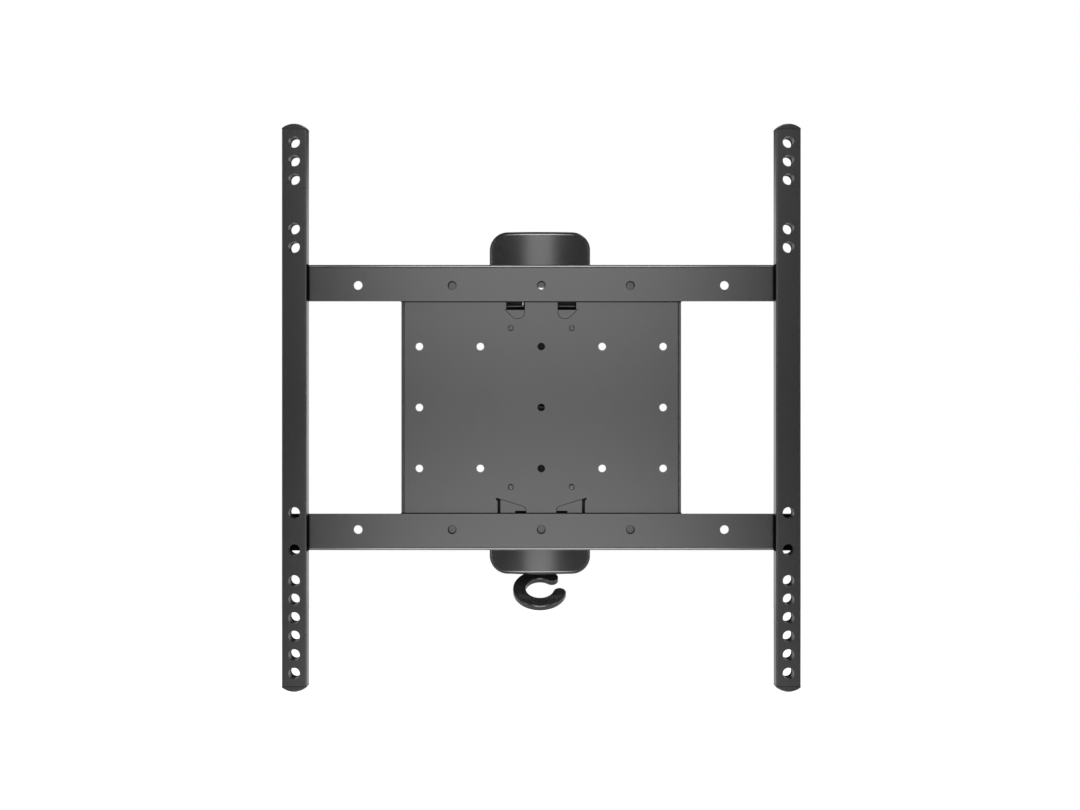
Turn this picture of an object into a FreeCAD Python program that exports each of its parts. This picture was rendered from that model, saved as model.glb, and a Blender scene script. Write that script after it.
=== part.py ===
"""Swivel wall mount for a television, in millimetres, +Z up.

The origin is the centre of the face that lies on the wall. The screen side is towards -Y.
Distances called "out" are measured from the wall towards the screen, so y = -out.
The bodies, from the wall outwards: wall, arm, head and screen.
"""
import FreeCAD, Part
import math
import os
import Sketcher
from FreeCAD import Placement, Rotation, Vector

SIZES = {
    # Wall side
    "wall_sheet": 2.5,
    "wall_flange": 12,
    "wall_bend": 2,
    "lag_hole": 4.5,
    "lag_slot_length": 20,
    "lag_slot_across": 30,
    "lag_row_far": 150,
    "lag_row_near": 90,
    "cover_width": 107,
    "cover_height": 362.8,
    "cover_depth": 34,
    "cover_crown": 8,
    "cover_wall": 2.5,
    "cover_corner": 19,
    "cover_edge": 3.5,
    "cover_window_margin": 3,
    "hinge_web_width": 44,
    "hinge_web_height": 130,
    "hinge_screw_across": 26,
    "hinge_screw_upright": 104,
    "hinge_sheet": 3,
    "hinge_bend": 3,
    "ear_half_width": 16,
    "ear_gap": 62,
    # Cable ring under the cover
    "ring_radius": 28.6,
    "ring_hole": 15,
    "ring_thickness": 6.6,
    "ring_edge": 1.2,
    "ring_out": 27,
    "ring_drop": 196.3,
    "ring_tilt_angle": 34,
    "ring_far_tip_angle": 54,
    "ring_near_tip_angle": 17,
    "ring_tongue_width": 18,
    "ring_tongue_thickness": 3.2,
    "ring_tongue_top": 150,
    "ring_tongue_foot": 184,
    "ring_screw_height": 160,
    # Swivel arm
    "wall_axis_out": 52,
    "arm_length": 270,
    "arm_width": 25,
    "arm_height": 50,
    "arm_wall": 2,
    "arm_corner": 4,
    "barrel_radius": 15,
    "barrel_bore": 8.2,
    "barrel_height": 56,
    "barrel_edge": 0.8,
    "bush_wall": 2.8,
    "bush_flange": 12.5,
    "bush_depth": 18,
    "clip_wall": 1.8,
    "clip_length": 16,
    "clip_lip": 4,
    "clip_loop": 12,
    "clip_place": 60,
    # Pivot bolts
    "pivot_radius": 5,
    "pivot_flats": 17,
    "pivot_head": 6.4,
    "pivot_nut": 8,
    "pivot_washer": 10,
    "pivot_washer_sheet": 2,
    "bolt_tail": 3,
    # Head yoke and tilt joint
    "yoke_sheet": 3,
    "yoke_reach": 20,
    "yoke_shoulder": 41,
    "yoke_nose": 50,
    "yoke_nose_height": 8,
    "yoke_corner": 4,
    "tilt_reach": 36,
    "tilt_radius": 4,
    "tilt_flats": 13,
    "tilt_head": 5.3,
    "tilt_nut": 6.5,
    "tilt_washer": 8,
    "tilt_washer_sheet": 1.6,
    "tilt_range_angle": 15,
    "tilt_stop_angle": 1,
    "lock_distance": 26,
    "lock_radius": 3,
    "lock_flats": 10,
    "lock_head": 4,
    "lock_nut": 5,
    "lock_washer": 6.5,
    # Rear bracket of the screen frame
    "bracket_sheet": 2.5,
    "bracket_inner": 66.8,
    "bracket_bend": 3,
    "bracket_height": 190,
    "bracket_tab_width": 40,
    "bracket_tab_margin": 4,
    "return_depth": 12,
    "return_width": 80,
    "return_foot": 40,
    "cheek_height": 122,
    "cheek_shoulder": 8,
    "cheek_waist_height": 37,
    "cheek_waist_out": 12.5,
    "cheek_tail_height": 17,
    "cheek_tail_out": 16,
    "cheek_corner": 8,
    "access_radius": 5.5,
    # Centre plate
    "plate_width": 230,
    "plate_edge_gap": 2,
    "plate_sheet": 2,
    "plate_flange": 12,
    "plate_bend": 3,
    "grid_pitch": 50,
    "grid_hole": 3.1,
    "arrow_width": 29.4,
    "arrow_height": 30,
    "arrow_shaft": 14.8,
    "arrow_depth": 0.3,
    "weld_groove": 0.45,
    # Windows of the centre plate, as distances across and up from its centre
    "window_lap": 7,
    "window_near": 13.4,
    "window_far": 28.7,
    "window_foot": 72.6,
    "window_slope_foot": 22.2,
    "window_round": 5.8,
    "window_notch": 1.2,
    "window_notch_foot": 79.3,
    "tongue_rim": 80,
    "tongue_gap": 0.35,
    "tongue_set_back": 0.1,
    "hatch_near": 12.2,
    "hatch_far": 35.9,
    "hatch_notch_far": 37.1,
    "hatch_notch_top": 73.9,
    "hatch_notch_foot": 76.2,
    "hatch_slope_far": 33.2,
    "hatch_slope_top": 75,
    "hatch_slope_near": 14.4,
    "hatch_slope_foot": 80.8,
    "hatch_side_top": 83.4,
    "hatch_slot_width": 2.5,
    "hatch_slot_far": 21.5,
    "hatch_slot_top": 84.7,
    "weld_across": 25,
    "weld_up": 65,
    # Cross bars
    "bar_lap": 15,
    "bar_height": 30,
    "bar_rise": 102,
    "bar_sheet": 2,
    "bar_flange": 15,
    "bar_bend": 3,
    "bar_row": 100,
    "bar_side_hole": 150,
    "bar_hole": 3.6,
    "rivet_across": 73,
    "rivet_head": 3.35,
    "rivet_recess": 1.2,
    "rivet_dimple": 0.4,
    "rivet_shank": 2,
    "rivet_tail": 3,
    "rivet_tail_rise": 1.2,
    "frame_reach": 59,
    # Uprights
    "upright_spacing": 400,
    "upright_width": 20,
    "upright_depth": 14,
    "upright_wall": 1.5,
    "upright_height": 451.4,
    "upright_edge": 1,
    "upright_hole": 4.6,
    "hole_step": 15,
    "end_row_margin": 10.7,
    "middle_row": 145,
    "lower_row": 115,
    "cap_rise": 4.3,
    "cap_shoulder": 0.8,
    "cap_plug": 5,
    "cap_edge": 0.8,
    # Small screws
    "screw_radius": 2.5,
    "screw_head_radius": 4.75,
    "screw_head": 3,
    "screw_bite": 6,
    # Clearances
    "running_gap": 0.2,
    "shank_gap": 0.25,
    "seat_gap": 0.3,
}

TOP_ROWS = 3
MIDDLE_ROWS = 2
FOOT_ROWS = 6

# Angles in degrees
QUARTER_TURN = 90
HALF_TURN = 180
FULL_TURN = 360

doc = FreeCAD.newDocument("SwivelMount")
sheet = doc.addObject("Spreadsheet::Sheet", "Sizes")
parts = []


class Size:
    """A length that carries both its number and the sheet formula that gives it."""

    def __init__(self, value, formula):
        self.value = float(value)
        self.formula = formula

    def joined(self, other, sign, value):
        return Size(value, "(%s %s %s)" % (self.formula, sign, formula_of(other)))

    def __add__(self, other):
        return self.joined(other, "+", self.value + number(other))

    def __sub__(self, other):
        return self.joined(other, "-", self.value - number(other))

    def __mul__(self, other):
        return self.joined(other, "*", self.value * number(other))

    def __truediv__(self, other):
        return self.joined(other, "/", self.value / number(other))

    def __neg__(self):
        return Size(-self.value, "(0 - %s)" % self.formula)

    def __radd__(self, other):
        return self + other

    def __rmul__(self, other):
        return self * other

    def __rsub__(self, other):
        return -self + other


def number(size):
    return size.value if isinstance(size, Size) else float(size)


def formula_of(size):
    return size.formula if isinstance(size, Size) else repr(float(size))


def sine(degrees):
    return Size(math.sin(math.radians(number(degrees))), "sin(%s * 1 deg)" % formula_of(degrees))


def cosine(degrees):
    return Size(math.cos(math.radians(number(degrees))), "cos(%s * 1 deg)" % formula_of(degrees))


def fill_sheet():
    for row, (name, value) in enumerate(SIZES.items(), start=1):
        sheet.set("A%d" % row, name)
        sheet.set("B%d" % row, str(value))
        sheet.setAlias("B%d" % row, name)
    doc.recompute()


def given(name):
    return Size(SIZES[name], "Sizes." + name)


fill_sheet()
S = {name: given(name) for name in SIZES}

# Planes that several pieces share, as distances out from the wall
HINGE_FACE = S["wall_sheet"]
WALL_AXIS = S["wall_axis_out"]
PAN_AXIS = WALL_AXIS + S["arm_length"]
TILT_AXIS = PAN_AXIS + S["tilt_reach"]
BAR_FACE = PAN_AXIS + S["frame_reach"]
PLATE_FACE = BAR_FACE - S["bar_sheet"]
PLATE_BACK = PLATE_FACE - S["plate_sheet"]
BRACKET_BACK = PLATE_BACK - S["bracket_sheet"]
UPRIGHT_FACE = BAR_FACE + S["upright_depth"]

# Heights above the screen frame's middle
BAR_NEAR_EDGE = S["bar_rise"] - S["bar_height"] / 2
BAR_FAR_EDGE = S["bar_rise"] + S["bar_height"] / 2
PLATE_HALF_HEIGHT = BAR_FAR_EDGE - S["bar_sheet"] - S["plate_edge_gap"]
WINDOW_END = BAR_NEAR_EDGE + S["window_lap"]

# Half widths along X in the tilt joint
BRACKET_INSIDE = S["bracket_inner"] / 2
BRACKET_OUTSIDE = BRACKET_INSIDE + S["bracket_sheet"]
YOKE_OUTSIDE = BRACKET_INSIDE - S["running_gap"]
YOKE_INSIDE = YOKE_OUTSIDE - S["yoke_sheet"]
WASHER_SEAT = BRACKET_OUTSIDE + S["running_gap"]

# Heights in the two vertical pivots
EAR_INSIDE = S["ear_gap"] / 2
EAR_OUTSIDE = EAR_INSIDE + S["hinge_sheet"]


def bind(item, path, size):
    """Gives a property its number and ties it to the sheet."""
    if isinstance(size, Size):
        item.setExpression(path, size.formula)
    else:
        item.setExpression(path, repr(float(size)))


def place(item, x=0, y=0, z=0, turn=None):
    """Sets a piece down at x, y, z, turned first by a fixed rotation."""
    item.Placement = Placement(Vector(number(x), number(y), number(z)), turn or Rotation())
    for axis, size in (("x", x), ("y", y), ("z", z)):
        bind(item, "Placement.Base." + axis, size)


def keep(item, label):
    """Names a finished piece and adds it to those that are written out."""
    item.Label = label
    parts.append(item)
    return item


def new_body(name):
    return doc.addObject("PartDesign::Body", name)


def sketch_on(body, role, name, offset=0):
    """A sketch on an origin plane of the body, moved along the plane's normal.

    XZ_Plane is a front view (x, z) whose normal points out from the wall, XY_Plane is a plan
    (x, y) and YZ_Plane a side view (y, z).
    """
    plane = next(item for item in body.Origin.OriginFeatures if item.Role == role)
    sketch = body.newObject("Sketcher::SketchObject", name)
    sketch.AttachmentSupport = [(plane, "")]
    sketch.MapMode = "FlatFace"
    bind(sketch, "AttachmentOffset.Base.z", offset)
    return sketch


def dimension(sketch, kind, size, *targets):
    index = sketch.addConstraint(Sketcher.Constraint(kind, *targets, number(size)))
    if isinstance(size, Size):
        sketch.setExpression("Constraints[%d]" % index, size.formula)


def pin(sketch, geometry, point, x, y):
    dimension(sketch, "DistanceX", x, -1, 1, geometry, point)
    dimension(sketch, "DistanceY", y, -1, 1, geometry, point)


def join(sketch, first, first_end, second, second_end):
    sketch.addConstraint(Sketcher.Constraint("Coincident", first, first_end, second, second_end))


def polygon(sketch, corners):
    """A closed outline of straight lines through the corners."""
    points = [Vector(number(x), number(y), 0) for x, y in corners]
    count = len(points)
    lines = [
        sketch.addGeometry(Part.LineSegment(points[i], points[(i + 1) % count]), False)
        for i in range(count)
    ]
    for i, (x, y) in enumerate(corners):
        join(sketch, lines[i], 2, lines[(i + 1) % count], 1)
        pin(sketch, lines[i], 1, x, y)


def rectangle(sketch, half_width, low, high):
    polygon(sketch, [(-half_width, low), (half_width, low), (half_width, high), (-half_width, high)])


def circles(sketch, centres, radius):
    for x, y in centres:
        centre = Vector(number(x), number(y), 0)
        ring = sketch.addGeometry(Part.Circle(centre, Vector(0, 0, 1), number(radius)), False)
        pin(sketch, ring, 3, x, y)
        dimension(sketch, "Radius", radius, ring)


def arc(sketch, centre, radius, start, end):
    """Adds an arc from the start angle to the end angle, counted in degrees from local x."""
    circle = Part.Circle(Vector(centre[0], centre[1], 0), Vector(0, 0, 1), radius)
    return sketch.addGeometry(Part.ArcOfCircle(circle, math.radians(start), math.radians(end)), False)


def ear_outline(sketch, half_width, root, axis):
    """A lug in plan: straight sides from the root, and a half round end about the axis."""
    away = 1 if number(axis) > number(root) else -1
    centre = Vector(0, number(axis), 0)
    left = Vector(-number(half_width), number(axis), 0)
    right = Vector(number(half_width), number(axis), 0)
    root_left = Vector(-number(half_width), number(root), 0)
    root_right = Vector(number(half_width), number(root), 0)
    base = sketch.addGeometry(Part.LineSegment(root_left, root_right), False)
    side = sketch.addGeometry(Part.LineSegment(root_right, right), False)
    back = sketch.addGeometry(Part.LineSegment(left, root_left), False)
    turn = (0, HALF_TURN) if away > 0 else (HALF_TURN, FULL_TURN)
    end = arc(sketch, (centre.x, centre.y), number(half_width), *turn)
    join(sketch, base, 2, side, 1)
    join(sketch, back, 2, base, 1)
    join(sketch, side, 2, end, 1 if away > 0 else 2)
    join(sketch, back, 1, end, 2 if away > 0 else 1)
    pin(sketch, base, 1, -half_width, root)
    pin(sketch, base, 2, half_width, root)
    pin(sketch, side, 2, half_width, axis)
    pin(sketch, back, 1, -half_width, axis)
    dimension(sketch, "DistanceY", axis, -1, 1, end, 3)


def straight_slot(sketch, x, y, half_length, half_width):
    """A slot along local x with half round ends."""
    across, up = number(x), number(y)
    reach = number(half_length) - number(half_width)
    thick = number(half_width)
    top = Part.LineSegment(Vector(across + reach, up + thick, 0), Vector(across - reach, up + thick, 0))
    foot = Part.LineSegment(Vector(across - reach, up - thick, 0), Vector(across + reach, up - thick, 0))
    top = sketch.addGeometry(top, False)
    foot = sketch.addGeometry(foot, False)
    left = arc(sketch, (across - reach, up), thick, QUARTER_TURN, QUARTER_TURN + HALF_TURN)
    right = arc(sketch, (across + reach, up), thick, -QUARTER_TURN, QUARTER_TURN)
    join(sketch, top, 2, left, 1)
    join(sketch, left, 2, foot, 1)
    join(sketch, foot, 2, right, 1)
    join(sketch, right, 2, top, 1)
    straight = half_length - half_width
    pin(sketch, top, 1, x + straight, y + half_width)
    pin(sketch, top, 2, x - straight, y + half_width)
    pin(sketch, foot, 1, x - straight, y - half_width)
    pin(sketch, foot, 2, x + straight, y - half_width)
    dimension(sketch, "DistanceX", x - straight, -1, 1, left, 3)
    dimension(sketch, "DistanceX", x + straight, -1, 1, right, 3)


def arc_slot(sketch, x, y, radius, half_width, half_angle):
    """A curved slot about (x, y), centred straight above it."""
    low, high = QUARTER_TURN - number(half_angle), QUARTER_TURN + number(half_angle)
    centre = (number(x), number(y))
    outer = arc(sketch, centre, number(radius + half_width), low, high)
    inner = arc(sketch, centre, number(radius - half_width), low, high)
    reach, rise = radius * sine(half_angle), radius * cosine(half_angle)
    right = arc(sketch, (number(x + reach), number(y + rise)), number(half_width), low - HALF_TURN, low)
    left = arc(sketch, (number(x - reach), number(y + rise)), number(half_width), high, high + HALF_TURN)
    join(sketch, inner, 1, right, 1)
    join(sketch, outer, 1, right, 2)
    join(sketch, outer, 2, left, 1)
    join(sketch, inner, 2, left, 2)
    for ring, size in ((outer, radius + half_width), (inner, radius - half_width)):
        pin(sketch, ring, 3, x, y)
        dimension(sketch, "Radius", size, ring)
        dimension(sketch, "DistanceX", x + size * sine(half_angle), -1, 1, ring, 1)
        dimension(sketch, "DistanceX", x - size * sine(half_angle), -1, 1, ring, 2)
    dimension(sketch, "DistanceX", x + reach, -1, 1, right, 3)
    dimension(sketch, "DistanceX", x - reach, -1, 1, left, 3)


def pad(body, sketch, length, midplane=False, reverse=False):
    feature = body.newObject("PartDesign::Pad", sketch.Name + "Pad")
    feature.Profile = sketch
    bind(feature, "Length", length)
    feature.Midplane = midplane
    feature.Reversed = reverse
    return feature


def pocket(body, sketch, length=None, both_ways=False, reverse=False):
    """Cuts a sketch's outline to a depth, or right through when no depth is given."""
    feature = body.newObject("PartDesign::Pocket", sketch.Name + "Pocket")
    feature.Profile = sketch
    if length is None:
        feature.Type = "ThroughAll"
    else:
        bind(feature, "Length", length)
    feature.Midplane = both_ways
    feature.Reversed = reverse
    return feature


def fillet(body, name, radius, chosen):
    """Rounds every edge of the body so far that the test accepts."""
    doc.recompute()
    base = body.Tip
    edges = ["Edge%d" % (i + 1) for i, edge in enumerate(base.Shape.Edges) if chosen(edge)]
    feature = body.newObject("PartDesign::Fillet", name)
    feature.Base = (base, edges)
    bind(feature, "Radius", radius)
    return feature


def lies(edge, direction, **place_at):
    """True for a straight edge along an axis whose middle has the given coordinates."""
    if not isinstance(edge.Curve, (Part.Line, Part.LineSegment)):
        return False
    run = edge.Vertexes[-1].Point - edge.Vertexes[0].Point
    if abs(getattr(run, direction)) < 0.999 * run.Length:
        return False
    middle = (edge.Vertexes[-1].Point + edge.Vertexes[0].Point) * 0.5
    return all(abs(abs(getattr(middle, axis)) - abs(number(size))) < 0.01 for axis, size in place_at.items())


def turned(name, profile):
    """A round piece about its own Z axis, from (radius, height) corners."""
    body = new_body(name)
    sketch = sketch_on(body, "XZ_Plane", name + "Profile")
    polygon(sketch, profile)
    feature = body.newObject("PartDesign::Revolution", name + "Turn")
    feature.Profile = sketch
    feature.ReferenceAxis = (sketch, ["V_Axis"])
    feature.Angle = FULL_TURN
    return body


def cut_flats(body, name, flats, low, high):
    """Trims the body to a hexagon between two heights."""
    corner = flats / math.sqrt(3)
    half = flats / 2
    sketch = sketch_on(body, "XY_Plane", name + "Flats", low)
    circles(sketch, [(0, 0)], flats)
    polygon(sketch, [(corner, 0), (corner / 2, half), (-corner / 2, half),
                     (-corner, 0), (-corner / 2, -half), (corner / 2, -half)])
    pocket(body, sketch, high - low, reverse=True)


def hex_bolt(name, radius, flats, head, length):
    """A hexagon bolt along +Z: its head's seat is at zero and its head below it."""
    corner = flats / math.sqrt(3)
    chamfer = head * 0.2
    body = turned(name, [
        (0, -head), (corner - chamfer, -head), (corner, chamfer - head), (corner, 0),
        (radius, 0), (radius, length - radius * 0.15), (radius * 0.85, length), (0, length),
    ])
    cut_flats(body, name, flats, -head, head * 0)
    return body


def hex_nut(name, bore, flats, height):
    corner = flats / math.sqrt(3)
    chamfer = height * 0.12
    body = turned(name, [
        (bore, 0), (corner - chamfer, 0), (corner, chamfer),
        (corner, height - chamfer), (corner - chamfer, height), (bore, height),
    ])
    cut_flats(body, name, flats, height * 0, height)
    return body


def washer(name, bore, radius, thickness):
    return turned(name, [(bore, 0), (radius, 0), (radius, thickness), (bore, thickness)])


def pan_screw(name, radius, head_radius, head, length):
    """A screw along +Z with a low domed head below its seat and a cross slot left plain."""
    return turned(name, [
        (0, -head), (head_radius * 0.6, -head), (head_radius * 0.9, head * -0.75),
        (head_radius, head * -0.4), (head_radius, 0), (radius, 0),
        (radius, length - radius * 0.3), (radius * 0.7, length), (0, length),
    ])


def group(items, label):
    """Several separate solids kept as one node."""
    compound = doc.addObject("Part::Compound", label)
    compound.Links = items
    return keep(compound, label)


FACING_WALL = Rotation(Vector(1, 0, 0), -QUARTER_TURN)
FACING_OUT = Rotation(Vector(1, 0, 0), QUARTER_TURN)
POINTING_RIGHT = Rotation(Vector(0, 1, 0), QUARTER_TURN)
POINTING_LEFT = Rotation(Vector(0, 1, 0), -QUARTER_TURN)
POINTING_DOWN = Rotation(Vector(1, 0, 0), HALF_TURN)
UPSIDE_DOWN = Rotation(Vector(0, 1, 0), HALF_TURN)


# Wall plate: a flanged sheet with lag bolt slots

def make_wall_plate():
    body = new_body("WallPlateBody")
    half = S["cover_width"] / 2 - S["cover_wall"] - S["seat_gap"]
    tall = S["cover_height"] / 2 - S["cover_wall"] - S["seat_gap"]
    web = sketch_on(body, "XZ_Plane", "WallWeb")
    rectangle(web, half, -tall, tall)
    pad(body, web, S["wall_sheet"])
    flange_end = tall - S["cover_corner"]
    flanges = sketch_on(body, "XZ_Plane", "WallFlanges")
    for side in (-1, 1):
        outer, inner = half * side, (half - S["wall_sheet"]) * side
        polygon(flanges, [(outer, -flange_end), (inner, -flange_end), (inner, flange_end), (outer, flange_end)])
    pad(body, flanges, S["wall_flange"])
    fillet(body, "WallCorner", S["cover_corner"] - S["cover_wall"], lambda edge: lies(edge, "y", x=half, z=tall))
    fillet(body, "WallBend", S["wall_bend"], lambda edge: lies(edge, "z", x=half, y=0))
    slots = sketch_on(body, "XZ_Plane", "LagSlots", S["wall_sheet"])
    for side in (-1, 1):
        for row_side in (-1, 1):
            straight_slot(slots, S["lag_slot_across"] * side, S["lag_row_far"] * row_side,
                          S["lag_slot_length"] / 2, S["lag_hole"])
        rows = [(0, S["lag_row_far"] * side), (0, S["lag_row_near"] * side)]
        circles(slots, rows, S["lag_hole"])
    pocket(body, slots)
    screws = sketch_on(body, "XZ_Plane", "HingeScrewHoles", S["wall_sheet"])
    circles(screws, hinge_screw_places(), S["screw_radius"] + S["shank_gap"])
    circles(screws, [(0, -S["ring_screw_height"])], S["screw_radius"] + S["shank_gap"])
    pocket(body, screws)
    keep(body, "wall_plate")


def hinge_screw_places():
    across, upright = S["hinge_screw_across"] / 2, S["hinge_screw_upright"] / 2
    return [(across * i, upright * k) for i in (-1, 1) for k in (-1, 1)]


# Wall cover: a moulded shell with a crowned front

def cover_solid(name, inset):
    """The cover's form, smaller by the inset on every side but the one at the wall."""
    body = new_body(name)
    half = S["cover_width"] / 2 - inset
    tall = S["cover_height"] / 2 - inset
    side = S["cover_depth"] - S["cover_crown"] - inset
    crown = S["cover_crown"]
    radius = (half * half + crown * crown) / (2 * crown)
    plan = sketch_on(body, "XY_Plane", name + "Plan")
    corners = [Vector(number(x), number(y), 0) for x, y in ((-half, 0), (-half, -side), (half, -side), (half, 0))]
    left = plan.addGeometry(Part.LineSegment(corners[0], corners[1]), False)
    right = plan.addGeometry(Part.LineSegment(corners[2], corners[3]), False)
    back = plan.addGeometry(Part.LineSegment(corners[3], corners[0]), False)
    top = Vector(0, -number(side) - number(crown), 0)
    front = plan.addGeometry(Part.Arc(corners[1], top, corners[2]), False)
    pin(plan, left, 1, -half, 0)
    pin(plan, left, 2, -half, -side)
    pin(plan, right, 1, half, -side)
    pin(plan, right, 2, half, 0)
    join(plan, back, 1, right, 2)
    join(plan, back, 2, left, 1)
    ends = (1, 2) if front_starts_left(plan, front, corners[1]) else (2, 1)
    join(plan, front, ends[0], left, 2)
    join(plan, front, ends[1], right, 1)
    dimension(plan, "Radius", radius, front)
    pad(body, plan, tall * 2, midplane=True)
    fillet(body, name + "Corner", S["cover_corner"] - inset, lambda edge: lies(edge, "y", x=half, z=tall))
    fillet(body, name + "Edge", S["cover_edge"] - inset * 0.8, lambda edge: on_front_rim(edge, number(side)))
    return body


def front_starts_left(sketch, curve, corner):
    return sketch.getPoint(curve, 1).distanceToPoint(corner) < 0.01


def on_front_rim(edge, side):
    """True for an edge of the crowned front face's outline."""
    box = edge.BoundBox
    return box.YMax < -side + 0.01


def make_wall_cover():
    outer = cover_solid("CoverOutside", S["cover_wall"] * 0)
    inner = cover_solid("CoverInside", S["cover_wall"])
    window = doc.addObject("Part::Box", "CoverWindow")
    half = S["hinge_web_width"] / 2 + S["cover_window_margin"]
    tall = EAR_OUTSIDE + S["cover_window_margin"]
    bind(window, "Length", half * 2)
    bind(window, "Width", S["cover_depth"])
    bind(window, "Height", tall * 2)
    place(window, -half, -S["cover_depth"] - S["cover_wall"], -tall)
    notch = doc.addObject("Part::Box", "CoverNotch")
    notch_half = S["ring_tongue_width"] / 2 + S["cover_window_margin"] * 2
    bind(notch, "Length", notch_half * 2)
    bind(notch, "Width", S["ring_thickness"] * 1.7)
    bind(notch, "Height", S["cover_wall"] * 3)
    place(notch, -notch_half, -S["ring_thickness"] * 1.7, -S["cover_height"] / 2 - S["cover_wall"])
    hollow = doc.addObject("Part::MultiFuse", "CoverHollow")
    hollow.Shapes = [inner, window, notch]
    shell = doc.addObject("Part::Cut", "WallCover")
    shell.Base = outer
    shell.Tool = hollow
    keep(shell, "wall_cover")


# Hinge bracket on the wall plate: a web with two lugs

def lugs(body, name, sheet, half_width, root, axis):
    """Two level lugs that reach from the root to the pivot axis, above and below the barrel."""
    for side, start in (("Upper", EAR_INSIDE), ("Lower", -EAR_INSIDE - sheet)):
        sketch = sketch_on(body, "XY_Plane", name + side + "Lug", start)
        ear_outline(sketch, half_width, root, axis)
        pad(body, sketch, sheet)


def pivot_bore(body, name, axis):
    sketch = sketch_on(body, "XY_Plane", name + "PivotBore")
    circles(sketch, [(0, axis)], S["pivot_radius"] + S["shank_gap"])
    pocket(body, sketch, both_ways=True)


def make_hinge_bracket():
    body = new_body("HingeBracketBody")
    half, tall = S["hinge_web_width"] / 2, S["hinge_web_height"] / 2
    face = HINGE_FACE + S["hinge_sheet"]
    web = sketch_on(body, "XZ_Plane", "HingeWeb", HINGE_FACE)
    rectangle(web, half, -tall, tall)
    pad(body, web, S["hinge_sheet"])
    lugs(body, "Hinge", S["hinge_sheet"], S["ear_half_width"], -HINGE_FACE, -WALL_AXIS)
    fillet(body, "HingeRoot", S["hinge_bend"],
           lambda edge: lies(edge, "x", y=face, z=EAR_OUTSIDE) or lies(edge, "x", y=face, z=EAR_INSIDE))
    fillet(body, "HingeCorner", S["hinge_bend"] * 2, lambda edge: lies(edge, "y", x=half, z=tall))
    pivot_bore(body, "Hinge", -WALL_AXIS)
    holes = sketch_on(body, "XZ_Plane", "HingeScrews", face)
    circles(holes, hinge_screw_places(), S["screw_radius"] + S["shank_gap"])
    pocket(body, holes)
    keep(body, "wall_hinge_bracket")
    screws = []
    for number_of, (x, z) in enumerate(hinge_screw_places()):
        screw = small_screw("HingeScrew%d" % number_of, S["hinge_sheet"] + S["wall_sheet"])
        place(screw, x, -face, z, FACING_WALL)
        screws.append(screw)
    group(screws, "hinge_bracket_screws")


def small_screw(name, length):
    return pan_screw(name, S["screw_radius"], S["screw_head_radius"], S["screw_head"], length)


# Bolts, nuts, washers and bushes of a vertical pivot

def make_pivot(prefix, axis, nodes):
    """The pieces that hold a barrel between two lugs, about a vertical axis."""
    seat = EAR_OUTSIDE + S["pivot_washer_sheet"]
    bore = S["pivot_radius"] + S["shank_gap"]
    bolt = hex_bolt(prefix + "Bolt", S["pivot_radius"], S["pivot_flats"], S["pivot_head"],
                    seat * 2 + S["pivot_nut"] + S["bolt_tail"])
    place(bolt, 0, axis, seat, POINTING_DOWN)
    keep(bolt, nodes["bolt"])
    nut = hex_nut(prefix + "Nut", S["pivot_radius"] + S["shank_gap"] / 5, S["pivot_flats"], S["pivot_nut"])
    place(nut, 0, axis, -seat, POINTING_DOWN)
    keep(nut, nodes["nut"])
    washers = []
    for side, base in (("Upper", EAR_OUTSIDE), ("Lower", -seat)):
        piece = washer(prefix + side + "Washer", bore, S["pivot_washer"], S["pivot_washer_sheet"])
        place(piece, 0, axis, base)
        washers.append(piece)
    group(washers, nodes["washers"])


def make_bushes(prefix, axis, node):
    """Two flanged bushes, pressed into the ends of a barrel."""
    barrel_top = S["barrel_height"] / 2
    flange = EAR_INSIDE - barrel_top - S["running_gap"]
    inner = S["barrel_bore"] - S["bush_wall"]
    outer = S["barrel_bore"] - S["shank_gap"] / 5
    bushes = []
    for side, sign, turn in (("Upper", 1, Rotation()), ("Lower", -1, POINTING_DOWN)):
        bush = turned(prefix + side + "Bush", [
            (inner, -S["bush_depth"]), (outer, -S["bush_depth"]), (outer, 0), (S["bush_flange"], 0),
            (S["bush_flange"], flange), (inner, flange),
        ])
        place(bush, 0, axis, barrel_top * sign, turn)
        bushes.append(bush)
    group(bushes, node)


# Swivel arm: a box tube welded between two barrels

def make_barrel(name, axis, node):
    top, edge = S["barrel_height"] / 2, S["barrel_edge"]
    barrel = turned(name, [
        (S["barrel_bore"], -top), (S["barrel_radius"] - edge, -top), (S["barrel_radius"], edge - top),
        (S["barrel_radius"], top - edge), (S["barrel_radius"] - edge, top), (S["barrel_bore"], top),
    ])
    place(barrel, 0, axis, 0)
    keep(barrel, node)


def make_arm_tube():
    body = new_body("ArmTubeBody")
    half, tall = S["arm_width"] / 2, S["arm_height"] / 2
    outside = sketch_on(body, "XZ_Plane", "ArmOutside", WALL_AXIS)
    rectangle(outside, half, -tall, tall)
    pad(body, outside, S["arm_length"])
    fillet(body, "ArmCorner", S["arm_corner"], lambda edge: lies(edge, "y", x=half, z=tall))
    inner_half, inner_tall = half - S["arm_wall"], tall - S["arm_wall"]
    inside = sketch_on(body, "XZ_Plane", "ArmInside", PAN_AXIS)
    rectangle(inside, inner_half, -inner_tall, inner_tall)
    pocket(body, inside)
    fillet(body, "ArmInnerCorner", S["arm_corner"] - S["arm_wall"],
           lambda edge: lies(edge, "y", x=inner_half, z=inner_tall))
    copes = sketch_on(body, "XY_Plane", "ArmCopes")
    circles(copes, [(0, -WALL_AXIS), (0, -PAN_AXIS)], S["barrel_radius"])
    pocket(body, copes, both_ways=True)
    keep(body, "arm_tube")


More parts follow.
